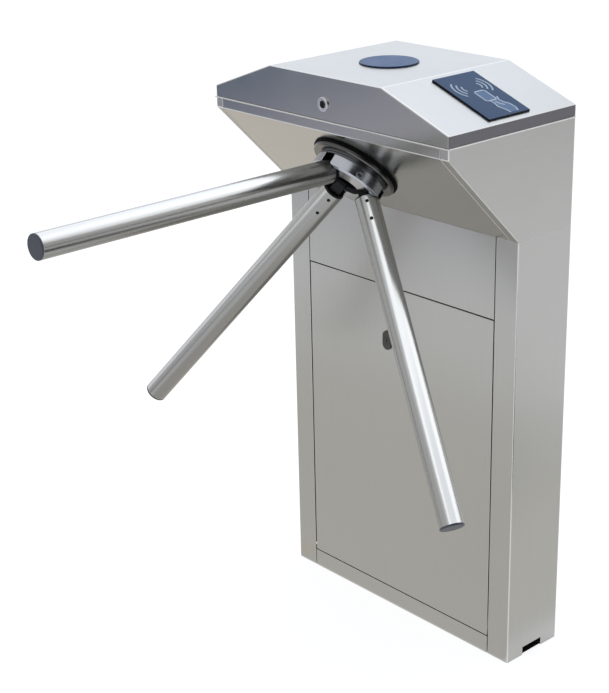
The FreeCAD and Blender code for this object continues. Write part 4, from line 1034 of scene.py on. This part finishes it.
# The row's X goes along the tube and its Z straight out.
DOWN_THE_TUBE = Matrix(((0, 1, 0, 0), (0, 0, 1, 0), (1, 0, 0, 0), (0, 0, 0, 1)))
for number in (1, 2, 3):
    rows = [(row, arm_frame(number) @ Matrix.Rotation(side, 4, "Z")
             @ Matrix.Translation((0, SEAT, TUBE_ROOT + SCREW_AT[0])) @ DOWN_THE_TUBE)
            for side in SCREW_SIDES]
    screws = gather(f"arm_{number}_set_screws", rows, oxide_black_and_shade)
    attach(screws, f"arm_{number}")
    print(screws.name, len(screws.data.polygons), "faces")

# %% [markdown]
# ## Hinge screws
# Two flat-headed screws hold every leaf of the lid hinges.  They are the same kind of screw, so the
# same tree grows them with other sizes; the fixed leaves and the flaps of the lid turn against each
# other, so each set of screws is a piece of its own.

# %% Hinge screws
HINGES_AT = (-150 * MM, 150 * MM)
LEAF, LEAF_MARGIN, HEAD_RISE = 1.5 * MM, 10 * MM, 0.3 * MM
HEAD_PITCH, HEAD_LENGTH, HEAD_RADIUS, HEAD_SOCKET = 24 * MM, 0.9 * MM, 2.7 * MM, 1.4 * MM
pair = grown(socket_screws, {"Count": 2, "Pitch": HEAD_PITCH, "Radius": HEAD_RADIUS,
                             "Socket": HEAD_SOCKET, "Length": HEAD_LENGTH})
for node, end, inward in (("lid_hinge_leaves", 0, 1), ("lid_hinge_flaps", 1, -1)):
    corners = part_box(node)
    height = corners[end][2] + inward * LEAF_MARGIN
    depth = corners[0][1] + LEAF + HEAD_RISE - HEAD_LENGTH / 2
    rows = [(pair, Matrix.Translation((x - HEAD_PITCH / 2, depth, height)) @ FACE_OUT) for x in HINGES_AT]
    heads = gather(node + "_screws", rows, ground_steel)
    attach(heads, frame["nodes"][node]["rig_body"])
    print(heads.name, len(heads.data.polygons), "faces")

# %% [markdown]
# ## Plugs over the hinge pins
# Each arm turns on a pin that is pushed in from the side of the drum, and a plug dressed flush with
# the drum closes its way.  The curved end could be cut with a Boolean, but it is as easy to compute:
# at a distance y from the middle the side of the drum stands at the root of r squared less y squared.

# %% Pin plugs
DRUM_RADIUS, PIN_OFF, PIN_DEPTH, PLUG_RADIUS = 60 * MM, 31.11 * MM, 27.41 * MM, 3.85 * MM
PLUG_CREASE = math.radians(25)
PLUG_RINGS = ((1.0, -6.0 * MM), (1.0, -0.5 * MM), (0.86, -0.1 * MM))


def pin_plug(steps=28):
    """A plug along X with a broken edge, its outer end on the round of the drum."""
    corners, faces = [], []
    for part, sunk in PLUG_RINGS:
        for i in range(steps):
            turn = 2 * math.pi * i / steps
            y = PIN_OFF + part * PLUG_RADIUS * math.cos(turn)
            z = PIN_DEPTH + part * PLUG_RADIUS * math.sin(turn)
            corners.append((math.sqrt(DRUM_RADIUS ** 2 - y ** 2) + sunk, y, z))
    for row in range(0, len(corners) - steps, steps):
        faces += [(row + i, row + (i + 1) % steps, row + (i + 1) % steps + steps, row + i + steps)
                  for i in range(steps)]
    faces += [tuple(range(steps - 1, -1, -1)), tuple(range(len(corners) - steps, len(corners)))]
    return shell("pin_plug", corners, faces)


places = [hub_axes @ Matrix.Rotation(math.radians(120 * i), 4, "Z") for i in range(3)]
plugs = gather("hub_pin_plugs", [(pin_plug(), place) for place in places], hub_chrome)
plugs.data.shade_smooth()
plugs.data.set_sharp_from_angle(angle=PLUG_CREASE)
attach(plugs, frame["nodes"]["hub_drum"]["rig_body"])
print(plugs.name, len(plugs.data.polygons), "faces")
